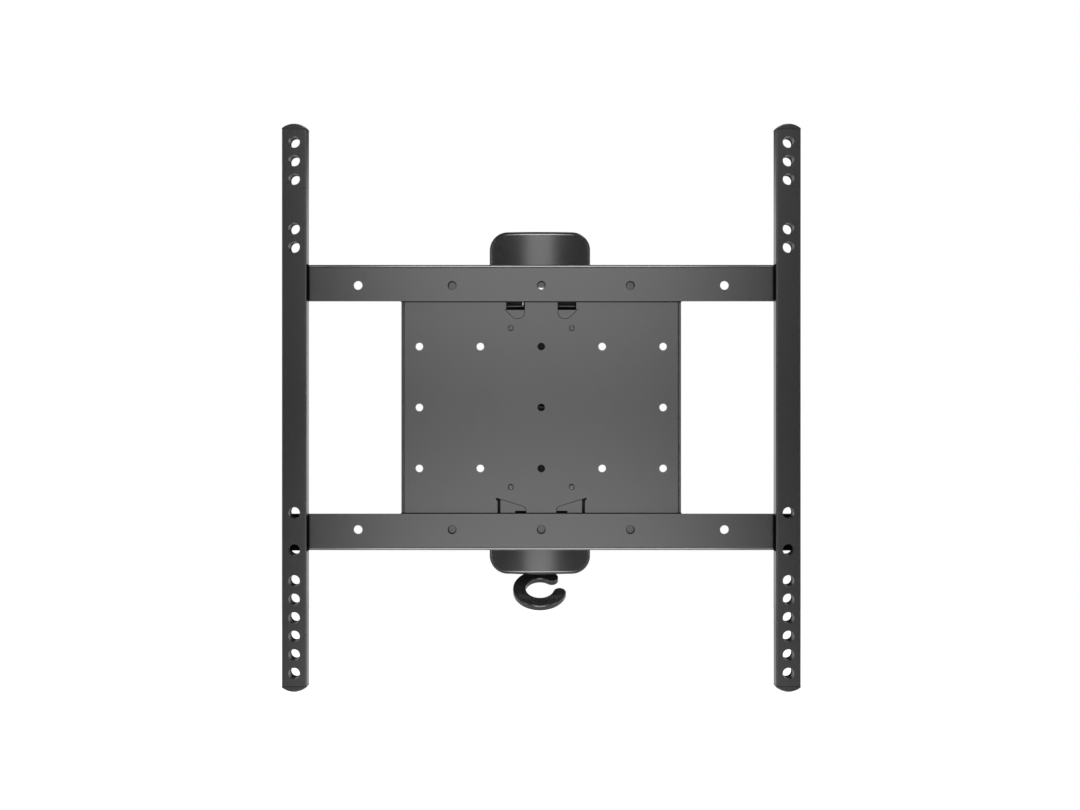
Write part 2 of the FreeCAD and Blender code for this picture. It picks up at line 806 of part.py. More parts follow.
def make_cable_clips():
    """Two sprung clips that snap round the arm, each with a loop below for the cables."""
    clips = []
    half = S["arm_width"] / 2 + S["seat_gap"]
    tall = S["arm_height"] / 2 + S["seat_gap"]
    wall, loop = S["clip_wall"], S["clip_loop"]
    middle = WALL_AXIS + S["arm_length"] / 2
    for index, side in enumerate((-1, 1)):
        body = new_body("CableClip%d" % index)
        start = middle + S["clip_place"] * side - S["clip_length"] / 2
        outline = sketch_on(body, "XZ_Plane", "ClipOutline%d" % index, start)
        polygon(outline, [
            (-half - wall, -tall - wall - loop - wall), (half + wall, -tall - wall - loop - wall),
            (half + wall, tall + wall), (half - S["clip_lip"], tall + wall), (half - S["clip_lip"], tall),
            (half, tall), (half, -tall), (-half, -tall), (-half, tall), (S["clip_lip"] - half, tall),
            (S["clip_lip"] - half, tall + wall), (-half - wall, tall + wall),
        ])
        pad(body, outline, S["clip_length"])
        hole = sketch_on(body, "XZ_Plane", "ClipLoop%d" % index, start + S["clip_length"])
        rectangle(hole, half, -tall - wall - loop, -tall - wall)
        pocket(body, hole)
        mouth = sketch_on(body, "XZ_Plane", "ClipMouth%d" % index, start + S["clip_length"])
        foot = -tall - wall - loop - wall
        polygon(mouth, [(0, foot - wall), (loop / 3, foot - wall), (loop / 3, foot + wall * 2), (0, foot + wall * 2)])
        pocket(body, mouth)
        clips.append(body)
    group(clips, "arm_cable_clips")


# Head yoke: a folded cross that holds the pan pivot and the tilt pivot

def yoke_cheek(height_side):
    """Corners of the cheek's front edge above or below the tilt axis, as (y, z)."""
    tall = S["ear_gap"] / 2 + S["yoke_sheet"]
    return [
        (-(PAN_AXIS + S["yoke_shoulder"]), tall * height_side),
        (-(PAN_AXIS + S["yoke_nose"]), S["yoke_nose_height"] * height_side),
    ]


def make_head_yoke():
    body = new_body("HeadYokeBody")
    tall = EAR_INSIDE + S["yoke_sheet"]
    back = PAN_AXIS + S["yoke_reach"]
    web = sketch_on(body, "XZ_Plane", "YokeWeb", back)
    rectangle(web, YOKE_OUTSIDE, -tall, tall)
    pad(body, web, S["yoke_sheet"])
    for side, start in (("Right", YOKE_INSIDE), ("Left", -YOKE_OUTSIDE)):
        cheek = sketch_on(body, "YZ_Plane", "YokeCheek" + side, start)
        upper = yoke_cheek(1)
        lower = yoke_cheek(-1)
        polygon(cheek, [(-back, -tall), (-back, tall), upper[0], upper[1], lower[1], lower[0]])
        pad(body, cheek, S["yoke_sheet"])
    fillet(body, "YokeSideBend", S["yoke_sheet"], lambda edge: lies(edge, "z", x=YOKE_OUTSIDE, y=back))
    lugs(body, "Yoke", S["yoke_sheet"], S["ear_half_width"], -(back + S["yoke_sheet"]), -PAN_AXIS)
    fillet(body, "YokeCheekEnd", S["yoke_corner"],
           lambda edge: any(lies(edge, "x", y=y, z=z) for y, z in yoke_cheek(1)))
    pivot_bore(body, "Yoke", -PAN_AXIS)
    for name, height, radius in (
        ("YokeTiltBore", 0, S["tilt_radius"]),
        ("YokeLockBore", S["lock_distance"], S["lock_radius"]),
    ):
        bore = sketch_on(body, "YZ_Plane", name)
        circles(bore, [(-TILT_AXIS, height)], radius + S["shank_gap"])
        pocket(body, bore, both_ways=True)
    keep(body, "head_yoke")


def make_tilt_fasteners():
    """The tilt bolt through both cheeks, and a lock bolt on each side."""
    seat = WASHER_SEAT + S["tilt_washer_sheet"]
    length = seat * 2 + S["tilt_nut"] + S["bolt_tail"]
    bolt = hex_bolt("TiltBolt", S["tilt_radius"], S["tilt_flats"], S["tilt_head"], length)
    place(bolt, -seat, -TILT_AXIS, 0, POINTING_RIGHT)
    keep(bolt, "tilt_bolt")
    nut = hex_nut("TiltNut", S["tilt_radius"] + S["shank_gap"] / 5, S["tilt_flats"], S["tilt_nut"])
    place(nut, seat, -TILT_AXIS, 0, POINTING_RIGHT)
    keep(nut, "tilt_nut")
    tilt_washers, lock_bolts, lock_nuts, lock_washers = [], [], [], []
    for side, sign, inward in (("Right", 1, POINTING_LEFT), ("Left", -1, POINTING_RIGHT)):
        piece = washer("TiltWasher" + side, S["tilt_radius"] + S["shank_gap"], S["tilt_washer"],
                       S["tilt_washer_sheet"])
        place(piece, seat * sign, -TILT_AXIS, 0, inward)
        tilt_washers.append(piece)
        piece = washer("LockWasher" + side, S["lock_radius"] + S["shank_gap"], S["lock_washer"],
                       S["tilt_washer_sheet"])
        place(piece, seat * sign, -TILT_AXIS, S["lock_distance"], inward)
        lock_washers.append(piece)
        reach = seat - YOKE_INSIDE + S["lock_nut"] + S["bolt_tail"] / 2
        piece = hex_bolt("LockBolt" + side, S["lock_radius"], S["lock_flats"], S["lock_head"], reach)
        place(piece, seat * sign, -TILT_AXIS, S["lock_distance"], inward)
        lock_bolts.append(piece)
        piece = hex_nut("LockNut" + side, S["lock_radius"] + S["shank_gap"] / 5, S["lock_flats"], S["lock_nut"])
        place(piece, YOKE_INSIDE * sign, -TILT_AXIS, S["lock_distance"], inward)
        lock_nuts.append(piece)
    group(tilt_washers, "tilt_washers")
    group(lock_bolts, "tilt_lock_bolts")
    group(lock_washers, "tilt_lock_washers")
    group(lock_nuts, "tilt_lock_nuts")


# Windows of the centre plate and the tongues of the bracket that lie in them

def upper_window(side):
    """Corners of a window below the top bar: a notch and a slope on its outer side."""
    near, far, foot = S["window_near"] * side, S["window_far"] * side, S["window_foot"]
    notch = (S["window_far"] + S["window_notch"]) * side
    notch_foot = S["window_notch_foot"]
    notch_top = notch_foot + S["window_notch"]
    slope = S["window_slope_foot"] - foot
    return [(near, WINDOW_END), (far, WINDOW_END), (far, notch_top), (notch, notch_top), (notch, notch_foot),
            ((notch_foot + slope) * side, notch_foot), (S["window_slope_foot"] * side, foot), (near, foot)]


def upper_tongue(side):
    """The tongue in an upper window, smaller all round by the gap."""
    gap, rim = S["tongue_gap"], S["tongue_rim"]
    near, far, foot = S["window_near"] + gap, S["window_far"] - gap, S["window_foot"] + gap
    slope_foot = S["window_slope_foot"] + gap - gap * math.sqrt(2)
    return [(near * side, rim), (far * side, rim), (far * side, foot + far - slope_foot),
            (slope_foot * side, foot), (near * side, foot)]


def upper_round_places(gap):
    """The two corners that are rounded at the foot of an upper window or of its tongue."""
    slope_foot = S["window_slope_foot"] + gap - gap * math.sqrt(2)
    foot = S["window_foot"] + gap
    return [(slope_foot, foot), (S["window_near"] + gap, foot)]


def lower_window(side):
    """Corners of a window above the bottom bar: a notch at its outer top and a long slope."""
    return [(S["hatch_near"] * side, -WINDOW_END), (S["hatch_far"] * side, -WINDOW_END),
            (S["hatch_far"] * side, -S["hatch_notch_foot"]), (S["hatch_notch_far"] * side, -S["hatch_notch_foot"]),
            (S["hatch_notch_far"] * side, -S["hatch_notch_top"]), (S["hatch_slope_far"] * side, -S["hatch_slope_top"]),
            (S["hatch_slope_near"] * side, -S["hatch_slope_foot"]), (S["hatch_near"] * side, -S["hatch_side_top"])]


def lower_tongue(side):
    """The tongue in a lower window, with a slot at its outer side and one at its foot."""
    gap, slot_top = S["tongue_gap"], S["hatch_slot_top"]
    far = S["hatch_far"] - S["hatch_slot_width"]
    near = S["hatch_near"] + gap
    return [(S["hatch_slot_far"] * side, -WINDOW_END), (far * side, -WINDOW_END),
            (far * side, -S["hatch_slope_top"] - gap), (S["hatch_slope_near"] * side, -S["hatch_slope_foot"] - gap),
            (near * side, -S["hatch_side_top"] - gap), (near * side, -slot_top),
            (S["hatch_slot_far"] * side, -slot_top)]


def web_cuts(side):
    """Openings in the web behind the windows, next to the tongues."""
    near, notch = S["window_near"] * side, (S["window_far"] + S["window_notch"]) * side
    slot_near = (S["hatch_far"] - S["hatch_slot_width"]) * side
    slot_far = (BRACKET_OUTSIDE + S["bracket_sheet"]) * side
    foot_near, foot_far = S["hatch_near"] * side, S["hatch_slot_far"] * side
    return [
        [(near, S["tongue_rim"]), (notch, S["tongue_rim"]), (notch, WINDOW_END), (near, WINDOW_END)],
        [(slot_near, -S["hatch_notch_top"]), (slot_far, -S["hatch_notch_top"]), (slot_far, -WINDOW_END),
         (slot_near, -WINDOW_END)],
        [(foot_near, -S["hatch_slot_top"]), (foot_far, -S["hatch_slot_top"]), (foot_far, -WINDOW_END),
         (foot_near, -WINDOW_END)],
    ]


# Rear bracket of the screen frame: a channel whose cheeks carry the tilt joint

def make_tilt_bracket():
    body = new_body("TiltBracketBody")
    tall = S["bracket_height"] / 2
    web = sketch_on(body, "XZ_Plane", "BracketWeb", BRACKET_BACK)
    rectangle(web, BRACKET_OUTSIDE, -tall, tall)
    pad(body, web, S["bracket_sheet"])
    tabs = sketch_on(body, "XZ_Plane", "BracketTabs", BRACKET_BACK)
    for side in (-1, 1):
        half, end = S["bracket_tab_width"] / 2, (PLATE_HALF_HEIGHT - S["bracket_tab_margin"]) * side
        polygon(tabs, [(-half, tall * side), (half, tall * side), (half, end), (-half, end)])
    pad(body, tabs, S["bracket_sheet"])
    for side, start in (("Right", BRACKET_INSIDE), ("Left", -BRACKET_OUTSIDE)):
        cheek = sketch_on(body, "YZ_Plane", "BracketCheek" + side, start)
        polygon(cheek, cheek_outline())
        pad(body, cheek, S["bracket_sheet"])
    fillet(body, "BracketCheekCorner", S["cheek_corner"],
           lambda edge: any(lies(edge, "x", y=y, z=z) for y, z in cheek_outline()[1:4]))
    add_returns(body, tall)
    for side, name in ((-1, "Left"), (1, "Right")):
        cuts = sketch_on(body, "XZ_Plane", "WebCuts" + name, PLATE_BACK)
        for corners in web_cuts(side):
            polygon(cuts, corners)
        pocket(body, cuts, S["bracket_sheet"])
        tongues = sketch_on(body, "XZ_Plane", "Tongues" + name, PLATE_BACK)
        polygon(tongues, upper_tongue(side))
        polygon(tongues, lower_tongue(side))
        pad(body, tongues, S["plate_sheet"] - S["tongue_set_back"])
    gap = S["tongue_gap"]
    fillet(body, "TongueRound", S["window_round"] - gap,
           lambda edge: any(lies(edge, "y", x=x, z=z) for x, z in upper_round_places(gap)))
    slots = sketch_on(body, "YZ_Plane", "TiltSlots")
    arc_slot(slots, -TILT_AXIS, S["lock_distance"] * 0, S["lock_distance"], S["lock_radius"] + S["seat_gap"],
             S["tilt_range_angle"] + S["tilt_stop_angle"])
    circles(slots, [(-TILT_AXIS, 0)], S["tilt_radius"] + S["shank_gap"])
    pocket(body, slots, both_ways=True)
    access = sketch_on(body, "XZ_Plane", "AccessHoles", PLATE_BACK)
    circles(access, [(0, S["grid_pitch"] * k) for k in (-1, 0, 1)], S["access_radius"])
    circles(access, [(0, S["bar_row"] * k) for k in (-1, 1)], S["rivet_shank"] + S["shank_gap"])
    circles(access, weld_places(), S["rivet_shank"] + S["shank_gap"])
    pocket(body, access, S["bracket_sheet"])
    keep(body, "tilt_bracket")


def add_returns(body, tall):
    """At each end the web is folded back and towards the middle, which stiffens the channel."""
    back = BRACKET_BACK - S["return_depth"]
    walls = sketch_on(body, "XZ_Plane", "ReturnWalls", back)
    for side in (-1, 1):
        polygon(walls, [(-BRACKET_OUTSIDE, tall * side), (BRACKET_OUTSIDE, tall * side),
                        (BRACKET_OUTSIDE, (tall - S["bracket_sheet"]) * side),
                        (-BRACKET_OUTSIDE, (tall - S["bracket_sheet"]) * side)])
    pad(body, walls, S["return_depth"])
    lips = sketch_on(body, "XZ_Plane", "ReturnLips", back)
    half = S["return_width"] / 2
    for side in (-1, 1):
        polygon(lips, [(-half, tall * side), (half, tall * side), (half, S["return_foot"] * side),
                       (-half, S["return_foot"] * side)])
    pad(body, lips, S["bracket_sheet"])
    fillet(body, "ReturnCorner", S["bracket_bend"], lambda edge: lies(edge, "y", x=half, z=S["return_foot"]))


def cheek_outline():
    """The cheek as (y, z) corners: from the web back to the narrow tail behind the tilt axis."""
    tall = S["cheek_height"] / 2
    shoulder = BRACKET_BACK - S["cheek_shoulder"]
    waist = TILT_AXIS - S["cheek_waist_out"]
    tail = TILT_AXIS - S["cheek_tail_out"]
    upper = [(-PLATE_BACK, tall), (-shoulder, tall), (-waist, S["cheek_waist_height"]),
             (-tail, S["cheek_tail_height"])]
    lower = [(y, -z) for y, z in reversed(upper)]
    return upper + lower


def weld_places():
    return [(S["weld_across"] * i, S["weld_up"] * k) for i in (-1, 1) for k in (-1, 1)]


# Centre plate

def grid_holes():
    """The VESA holes of the plate: two rows of five, and the middle row with its outer three."""
    pitch = S["grid_pitch"]
    rows = [(pitch * i, pitch * k) for k in (-1, 1) for i in (-2, -1, 0, 1, 2)]
    return rows + [(pitch * i, pitch * 0) for i in (-2, 0, 2)]


def arrow(sketch, x):
    """An arrow that points up, level with the plate's middle."""
    half, tall, shaft = S["arrow_width"] / 2, S["arrow_height"] / 2, S["arrow_shaft"] / 2
    middle = tall * 0
    polygon(sketch, [(x - shaft, -tall), (x + shaft, -tall), (x + shaft, middle), (x + half, middle),
                     (x, tall), (x - half, middle), (x - shaft, middle)])


def make_plate():
    body = new_body("PlateBody")
    half, tall = S["plate_width"] / 2, PLATE_HALF_HEIGHT
    web = sketch_on(body, "XZ_Plane", "PlateWeb", PLATE_BACK)
    rectangle(web, half, -tall, tall)
    pad(body, web, S["plate_sheet"])
    flanges = sketch_on(body, "XZ_Plane", "PlateFlanges", PLATE_FACE)
    for side in (-1, 1):
        outer, inner = half * side, (half - S["plate_sheet"]) * side
        polygon(flanges, [(outer, -tall), (inner, -tall), (inner, tall), (outer, tall)])
    pad(body, flanges, S["plate_flange"], reverse=True)
    fillet(body, "PlateInnerBend", S["plate_bend"] - S["plate_sheet"],
           lambda edge: lies(edge, "z", x=half - S["plate_sheet"], y=PLATE_BACK))
    fillet(body, "PlateBend", S["plate_bend"], lambda edge: lies(edge, "z", x=half, y=PLATE_FACE))
    holes = sketch_on(body, "XZ_Plane", "GridHoles", PLATE_FACE)
    circles(holes, grid_holes(), S["grid_hole"])
    pocket(body, holes)
    rivets = sketch_on(body, "XZ_Plane", "PlateRivetHoles", PLATE_FACE)
    circles(rivets, weld_places(), S["rivet_shank"] + S["weld_groove"])
    circles(rivets, bar_rivet_places(), S["rivet_shank"] + S["shank_gap"])
    pocket(body, rivets)
    for name, side in (("Left", -1), ("Right", 1)):
        windows = sketch_on(body, "XZ_Plane", "Windows" + name, PLATE_FACE)
        polygon(windows, upper_window(side))
        polygon(windows, lower_window(side))
        pocket(body, windows)
        stamp = sketch_on(body, "XZ_Plane", "Arrow" + name, PLATE_FACE)
        arrow(stamp, S["grid_pitch"] * side)
        pocket(body, stamp, S["arrow_depth"])
    fillet(body, "WindowRound", S["window_round"],
           lambda edge: any(lies(edge, "y", x=x, z=z) for x, z in upper_round_places(S["tongue_gap"] * 0)))
    keep(body, "vesa_plate")


# Cross bars and the rivets that join them to the plate

def bar_rivet_places():
    across = S["rivet_across"]
    return [(across * i, S["bar_row"] * k) for k in (-1, 1) for i in (-1, 0, 1)]


def make_bar(name, side, node):
    body = new_body(name)
    low, high = BAR_NEAR_EDGE * side, BAR_FAR_EDGE * side
    flange_inside = high - S["bar_sheet"] * side
    profile = sketch_on(body, "YZ_Plane", name + "Profile")
    face, inside, back = -BAR_FACE, -PLATE_FACE, S["bar_flange"] - BAR_FACE
    polygon(profile, [(face, low), (face, high), (back, high), (back, flange_inside),
                      (inside, flange_inside), (inside, low)])
    pad(body, profile, S["upright_spacing"] - S["upright_width"] + S["bar_lap"] * 2, midplane=True)
    fillet(body, name + "InnerBend", S["bar_bend"] - S["bar_sheet"],
           lambda edge: lies(edge, "x", y=PLATE_FACE, z=flange_inside))
    fillet(body, name + "Bend", S["bar_bend"], lambda edge: lies(edge, "x", y=BAR_FACE, z=high))
    holes = sketch_on(body, "XZ_Plane", name + "Holes", BAR_FACE)
    row = S["bar_row"] * side
    places = [S["bar_side_hole"] * -1, S["rivet_across"] * -1, S["rivet_across"] * 0, S["rivet_across"],
              S["bar_side_hole"]]
    circles(holes, [(x, row) for x in places], S["bar_hole"])
    pocket(body, holes)
    screws = sketch_on(body, "XZ_Plane", name + "ScrewHoles", BAR_FACE)
    reach = S["upright_spacing"] / 2
    circles(screws, [(-reach, row), (reach, row)], S["screw_radius"] + S["shank_gap"])
    pocket(body, screws)
    keep(body, node)


def make_rivets():
    bar_rivets = []
    head = S["bar_sheet"] - S["rivet_recess"]
    stack = head + S["plate_sheet"]
    for index, (x, z) in enumerate(bar_rivet_places()):
        in_middle = index % 3 == 1
        tail = stack + S["bracket_sheet"] if in_middle else stack
        dimple = S["rivet_dimple"] if in_middle else S["rivet_dimple"] / 4
        rivet = turned("BarRivet%d" % index, [
            (0, dimple), (S["rivet_head"] * 0.4, dimple), (S["rivet_head"] * 0.5, 0),
            (S["rivet_head"], 0), (S["rivet_head"], head), (S["rivet_shank"], head), (S["rivet_shank"], tail),
            (S["rivet_tail"], tail), (S["rivet_tail"] * 0.7, tail + S["rivet_tail_rise"]),
            (0, tail + S["rivet_tail_rise"]),
        ])
        place(rivet, x, S["rivet_recess"] - BAR_FACE, z, FACING_WALL)
        bar_rivets.append(rivet)
    group(bar_rivets, "bar_rivets")
    plate_rivets = []
    through = S["plate_sheet"] + S["bracket_sheet"]
    for index, (x, z) in enumerate(weld_places()):
        rivet = turned("PlateRivet%d" % index, [
            (0, 0), (S["rivet_shank"] * 0.65, 0), (S["rivet_shank"], S["weld_groove"]), (S["rivet_shank"], through),
            (S["rivet_tail"], through), (S["rivet_tail"] * 0.7, through + S["rivet_tail_rise"]),
            (0, through + S["rivet_tail_rise"]),
        ])
        place(rivet, x, -PLATE_FACE, z, FACING_WALL)
        plate_rivets.append(rivet)
    group(plate_rivets, "plate_rivets")


# Uprights: closed tubes with rows of VESA holes and domed end caps

def upright_rows():
    step = S["hole_step"]
    end_row = S["upright_height"] / 2 - S["end_row_margin"]
    rows = [end_row - step * i for i in range(TOP_ROWS)]
    rows += [S["middle_row"] - step * i for i in range(MIDDLE_ROWS)]
    rows += [step * 2 - S["lower_row"], -S["lower_row"]]
    rows += [step * i - end_row for i in range(FOOT_ROWS)]
    return rows


def make_upright(name, side, node):
    body = new_body(name)
    half = S["upright_width"] / 2
    plan = sketch_on(body, "XY_Plane", name + "Plan")
    rectangle(plan, half, -UPRIGHT_FACE, -BAR_FACE)
    pad(body, plan, S["upright_height"], midplane=True)
    fillet(body, name + "Edge", S["upright_edge"],
           lambda edge: lies(edge, "z", x=half, y=UPRIGHT_FACE) or lies(edge, "z", x=half, y=BAR_FACE))
    inside = sketch_on(body, "XY_Plane", name + "Inside")
    rectangle(inside, half - S["upright_wall"], S["upright_wall"] - UPRIGHT_FACE, -BAR_FACE - S["upright_wall"])
    pocket(body, inside, both_ways=True)
    holes = sketch_on(body, "XZ_Plane", name + "Holes", UPRIGHT_FACE)
    circles(holes, [(0, height) for height in upright_rows()], S["upright_hole"])
    pocket(body, holes)
    screws = sketch_on(body, "XZ_Plane", name + "ScrewHoles", BAR_FACE)
    circles(screws, [(0, S["bar_row"] * k) for k in (-1, 1)], S["screw_radius"] + S["shank_gap"] / 5)
    pocket(body, screws, S["upright_wall"], reverse=True)
    place(body, S["upright_spacing"] / 2 * side, 0, 0)
    keep(body, node)


def end_cap(name, x, side):
    """A cap with a domed top across the tube's width and a plug inside the tube."""
    body = new_body(name)
    half, shoulder, rise = S["upright_width"] / 2, S["cap_shoulder"], S["cap_rise"]
    dome = rise - shoulder
    radius = (half * half + dome * dome) / (2 * dome)
    front = sketch_on(body, "XZ_Plane", name + "Front", BAR_FACE)
    left, right = Vector(-number(half), 0, 0), Vector(number(half), 0, 0)
    up = Vector(0, number(shoulder), 0)
    base = front.addGeometry(Part.LineSegment(left, right), False)
    right_side = front.addGeometry(Part.LineSegment(right, right + up), False)
    left_side = front.addGeometry(Part.LineSegment(left + up, left), False)
    crown = front.addGeometry(Part.Arc(right + up, Vector(0, number(rise), 0), left + up), False)
    pin(front, base, 1, -half, 0)
    pin(front, base, 2, half, 0)
    pin(front, right_side, 2, half, shoulder)
    pin(front, left_side, 1, -half, shoulder)
    join(front, base, 2, right_side, 1)
    join(front, left_side, 2, base, 1)
    join(front, crown, 1, right_side, 2)
    join(front, crown, 2, left_side, 1)
    dimension(front, "Radius", radius, crown)
    pad(body, front, S["upright_depth"])
    plug = sketch_on(body, "XY_Plane", name + "Plug")
    inner = half - S["upright_wall"] - S["shank_gap"]
    rectangle(plug, inner, S["upright_wall"] + S["shank_gap"] - UPRIGHT_FACE,
              -BAR_FACE - S["upright_wall"] - S["shank_gap"])
    pad(body, plug, S["cap_plug"], reverse=True)
    fillet(body, name + "Edge", S["cap_edge"], lambda edge: on_crown(edge, number(rise)))
    height = S["upright_height"] / 2
    turn = Rotation() if side > 0 else UPSIDE_DOWN
    place(body, x, 0, height * side, turn)
    return body


def on_crown(edge, rise):
    """True for the two curved edges of a cap's dome."""
    box = edge.BoundBox
    return box.ZMax > rise - 0.05 and box.YLength < 0.05


def make_end_caps():
    reach = S["upright_spacing"] / 2
    caps = []
    for x_side in (-1, 1):
        for z_side in (-1, 1):
            name = "EndCap%d" % len(caps)
            caps.append(end_cap(name, reach * x_side, z_side))
    group(caps, "upright_end_caps")


def make_upright_screws():
    """Screws from behind through the bars into the uprights' rear walls."""
    reach = S["upright_spacing"] / 2
    screws = []
    for x_side in (-1, 1):
        for z_side in (-1, 1):
            screw = small_screw("UprightScrew%d" % len(screws), S["bar_sheet"] + S["screw_bite"])
            place(screw, reach * x_side, -PLATE_FACE, S["bar_row"] * z_side, FACING_OUT)
            screws.append(screw)
    group(screws, "upright_screws")


# Cable ring: an open ring on a tongue that is screwed to the wall plate

def make_cable_ring():
    sweep = FULL_TURN - S["ring_near_tip_angle"] - S["ring_far_tip_angle"]
    solids = {}
    for name, radius in (("RingOutside", S["ring_radius"]), ("RingInside", S["ring_hole"])):
        item = doc.addObject("Part::Cylinder", name)
        bind(item, "Radius", radius)
        bind(item, "Height", S["ring_thickness"])
        item.Placement = Placement(Vector(), Rotation(Vector(0, 0, 1), number(S["ring_far_tip_angle"])))
        solids[name] = item
    bind(solids["RingOutside"], "Angle", sweep)
    band = doc.addObject("Part::Cut", "RingBand")
    band.Base = solids["RingOutside"]
    band.Tool = solids["RingInside"]
    tips = []
    middle = (S["ring_radius"] + S["ring_hole"]) / 2
    for name, angle in (("RingFarTip", S["ring_far_tip_angle"]), ("RingNearTip", -S["ring_near_tip_angle"])):
        tip = doc.addObject("Part::Cylinder", name)
        bind(tip, "Radius", (S["ring_radius"] - S["ring_hole"]) / 2)
        bind(tip, "Height", S["ring_thickness"])
        place(tip, middle * cosine(angle), middle * sine(angle), 0)
        tips.append(tip)
    loop = doc.addObject("Part::MultiFuse", "RingLoop")
    loop.Shapes = [band] + tips
    loop.Refine = True
    doc.recompute()
    rounded = doc.addObject("Part::Fillet", "RingRounded")
    rounded.Base = loop
    radius = number(S["ring_edge"])
    rounded.Edges = [(i + 1, radius, radius) for i, edge in enumerate(loop.Shape.Edges) if level(edge)]
    tilt = Rotation(Vector(1, 0, 0), number(S["ring_tilt_angle"]))
    lift = S["ring_thickness"] * cosine(S["ring_tilt_angle"])
    back = S["ring_thickness"] * sine(S["ring_tilt_angle"])
    place(rounded, 0, back - S["ring_out"], -S["ring_drop"] - lift, tilt)
    tongue = doc.addObject("Part::Box", "RingTongue")
    bind(tongue, "Length", S["ring_tongue_width"])
    bind(tongue, "Width", S["ring_tongue_thickness"])
    bind(tongue, "Height", S["ring_tongue_foot"] - S["ring_tongue_top"])
    place(tongue, -S["ring_tongue_width"] / 2, -HINGE_FACE - S["ring_tongue_thickness"], -S["ring_tongue_foot"])
    joined = doc.addObject("Part::MultiFuse", "RingJoined")
    joined.Shapes = [rounded, tongue]
    hole = doc.addObject("Part::Cylinder", "RingScrewHole")
    bind(hole, "Radius", S["screw_radius"] + S["shank_gap"])
    bind(hole, "Height", S["ring_out"])
    place(hole, 0, 0, -S["ring_screw_height"], FACING_OUT)
    ring = doc.addObject("Part::Cut", "CableRing")
    ring.Base = joined
    ring.Tool = hole
    keep(ring, "cable_ring")
    screw = small_screw("RingScrew", S["ring_tongue_thickness"] + S["wall_sheet"])
    place(screw, 0, -HINGE_FACE - S["ring_tongue_thickness"], -S["ring_screw_height"], FACING_WALL)
    keep(screw, "cable_ring_screw")


def level(edge):
    """True for an edge that stays at one height."""
    return edge.BoundBox.ZLength < 0.01


def check_document():
    """Stops if a feature failed or a piece has no sound shape."""
    doc.recompute()
    for item in doc.Objects:
        if "Invalid" in item.State or "Error" in item.State:
            raise RuntimeError("%s failed: %s" % (item.Label, item.State))
    for item in parts:
        if item.Shape.isNull() or not item.Shape.isValid():
            raise RuntimeError("%s has no sound shape" % item.Label)


def write_parts():
    os.makedirs("parts", exist_ok=True)
    for item in parts:
        item.Shape.exportStep("parts/%s.step" % item.Label)
        solids = len(item.Shape.Solids)
        print("%-24s %2d solids %10.1f mm3" % (item.Label, solids, item.Shape.Volume))


make_wall_plate()
make_wall_cover()
make_hinge_bracket()
make_pivot("Wall", -WALL_AXIS,
           {"bolt": "wall_pivot_bolt", "nut": "wall_pivot_nut", "washers": "wall_pivot_washers"})
make_cable_ring()
make_arm_tube()
make_barrel("WallBarrel", -WALL_AXIS, "wall_end_barrel")
make_barrel("HeadBarrel", -PAN_AXIS, "head_end_barrel")
make_bushes("Wall", -WALL_AXIS, "wall_end_bushes")
make_bushes("Head", -PAN_AXIS, "head_end_bushes")
make_cable_clips()
make_head_yoke()
make_pivot("Pan", -PAN_AXIS, {"bolt": "pan_bolt", "nut": "pan_nut", "washers": "pan_washers"})
make_tilt_fasteners()
make_tilt_bracket()
make_plate()
make_bar("TopBar", 1, "top_bar")
make_bar("BottomBar", -1, "bottom_bar")
make_rivets()
make_upright("LeftUpright", -1, "left_upright")
make_upright("RightUpright", 1, "right_upright")
make_end_caps()
make_upright_screws()
check_document()
write_parts()
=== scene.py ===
"""Looks of a swivel wall mount for a television: paint, moulded plastic, plated steel and light."""
import math

import bmesh
import bpy
from mathutils import Matrix, Vector


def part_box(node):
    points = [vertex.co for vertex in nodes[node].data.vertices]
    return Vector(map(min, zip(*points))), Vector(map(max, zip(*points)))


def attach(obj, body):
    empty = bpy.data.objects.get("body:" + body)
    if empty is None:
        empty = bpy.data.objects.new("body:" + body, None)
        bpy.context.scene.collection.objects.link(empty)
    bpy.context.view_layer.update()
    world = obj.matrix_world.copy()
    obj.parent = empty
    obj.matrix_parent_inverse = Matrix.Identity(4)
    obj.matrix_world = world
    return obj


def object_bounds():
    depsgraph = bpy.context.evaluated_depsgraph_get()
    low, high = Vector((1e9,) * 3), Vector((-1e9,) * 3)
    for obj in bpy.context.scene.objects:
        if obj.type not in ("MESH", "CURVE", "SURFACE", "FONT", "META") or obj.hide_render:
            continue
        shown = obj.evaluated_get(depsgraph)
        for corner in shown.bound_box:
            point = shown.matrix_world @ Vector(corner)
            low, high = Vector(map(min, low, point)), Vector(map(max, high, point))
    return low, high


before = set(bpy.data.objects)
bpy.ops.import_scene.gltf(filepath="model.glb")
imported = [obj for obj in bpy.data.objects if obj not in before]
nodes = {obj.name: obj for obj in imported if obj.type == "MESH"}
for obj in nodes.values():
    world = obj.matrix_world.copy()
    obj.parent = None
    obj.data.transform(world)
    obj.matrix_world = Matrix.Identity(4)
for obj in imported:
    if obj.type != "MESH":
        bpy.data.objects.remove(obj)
cad_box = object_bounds()

MM = 0.001

# The photograph's camera, in metres and in pixels of its 1080 x 810 frame
PHOTO_WIDTH, PHOTO_HEIGHT = 1080.0, 810.0
AXIS_PIXEL = (535.4, 388.0)
FOCAL_PIXELS = 1450.0
CAMERA_DISTANCE = 1.187
CAMERA_LEFT = 0.0048
CAMERA_RISE = 0.016
SENSOR = 36.0

# The floor, and the glow in which the camera sees it as white
FLOOR_DROP = 0.45
FLOOR_HALF = 3.0
FLOOR_GLOW = 0.64

# The room: its fill light, and how bright it mirrors in front of the mount and behind it
ROOM_FILL = 0.5
ROOM_DIM = 0.2
ROOM_BACK = 0.03

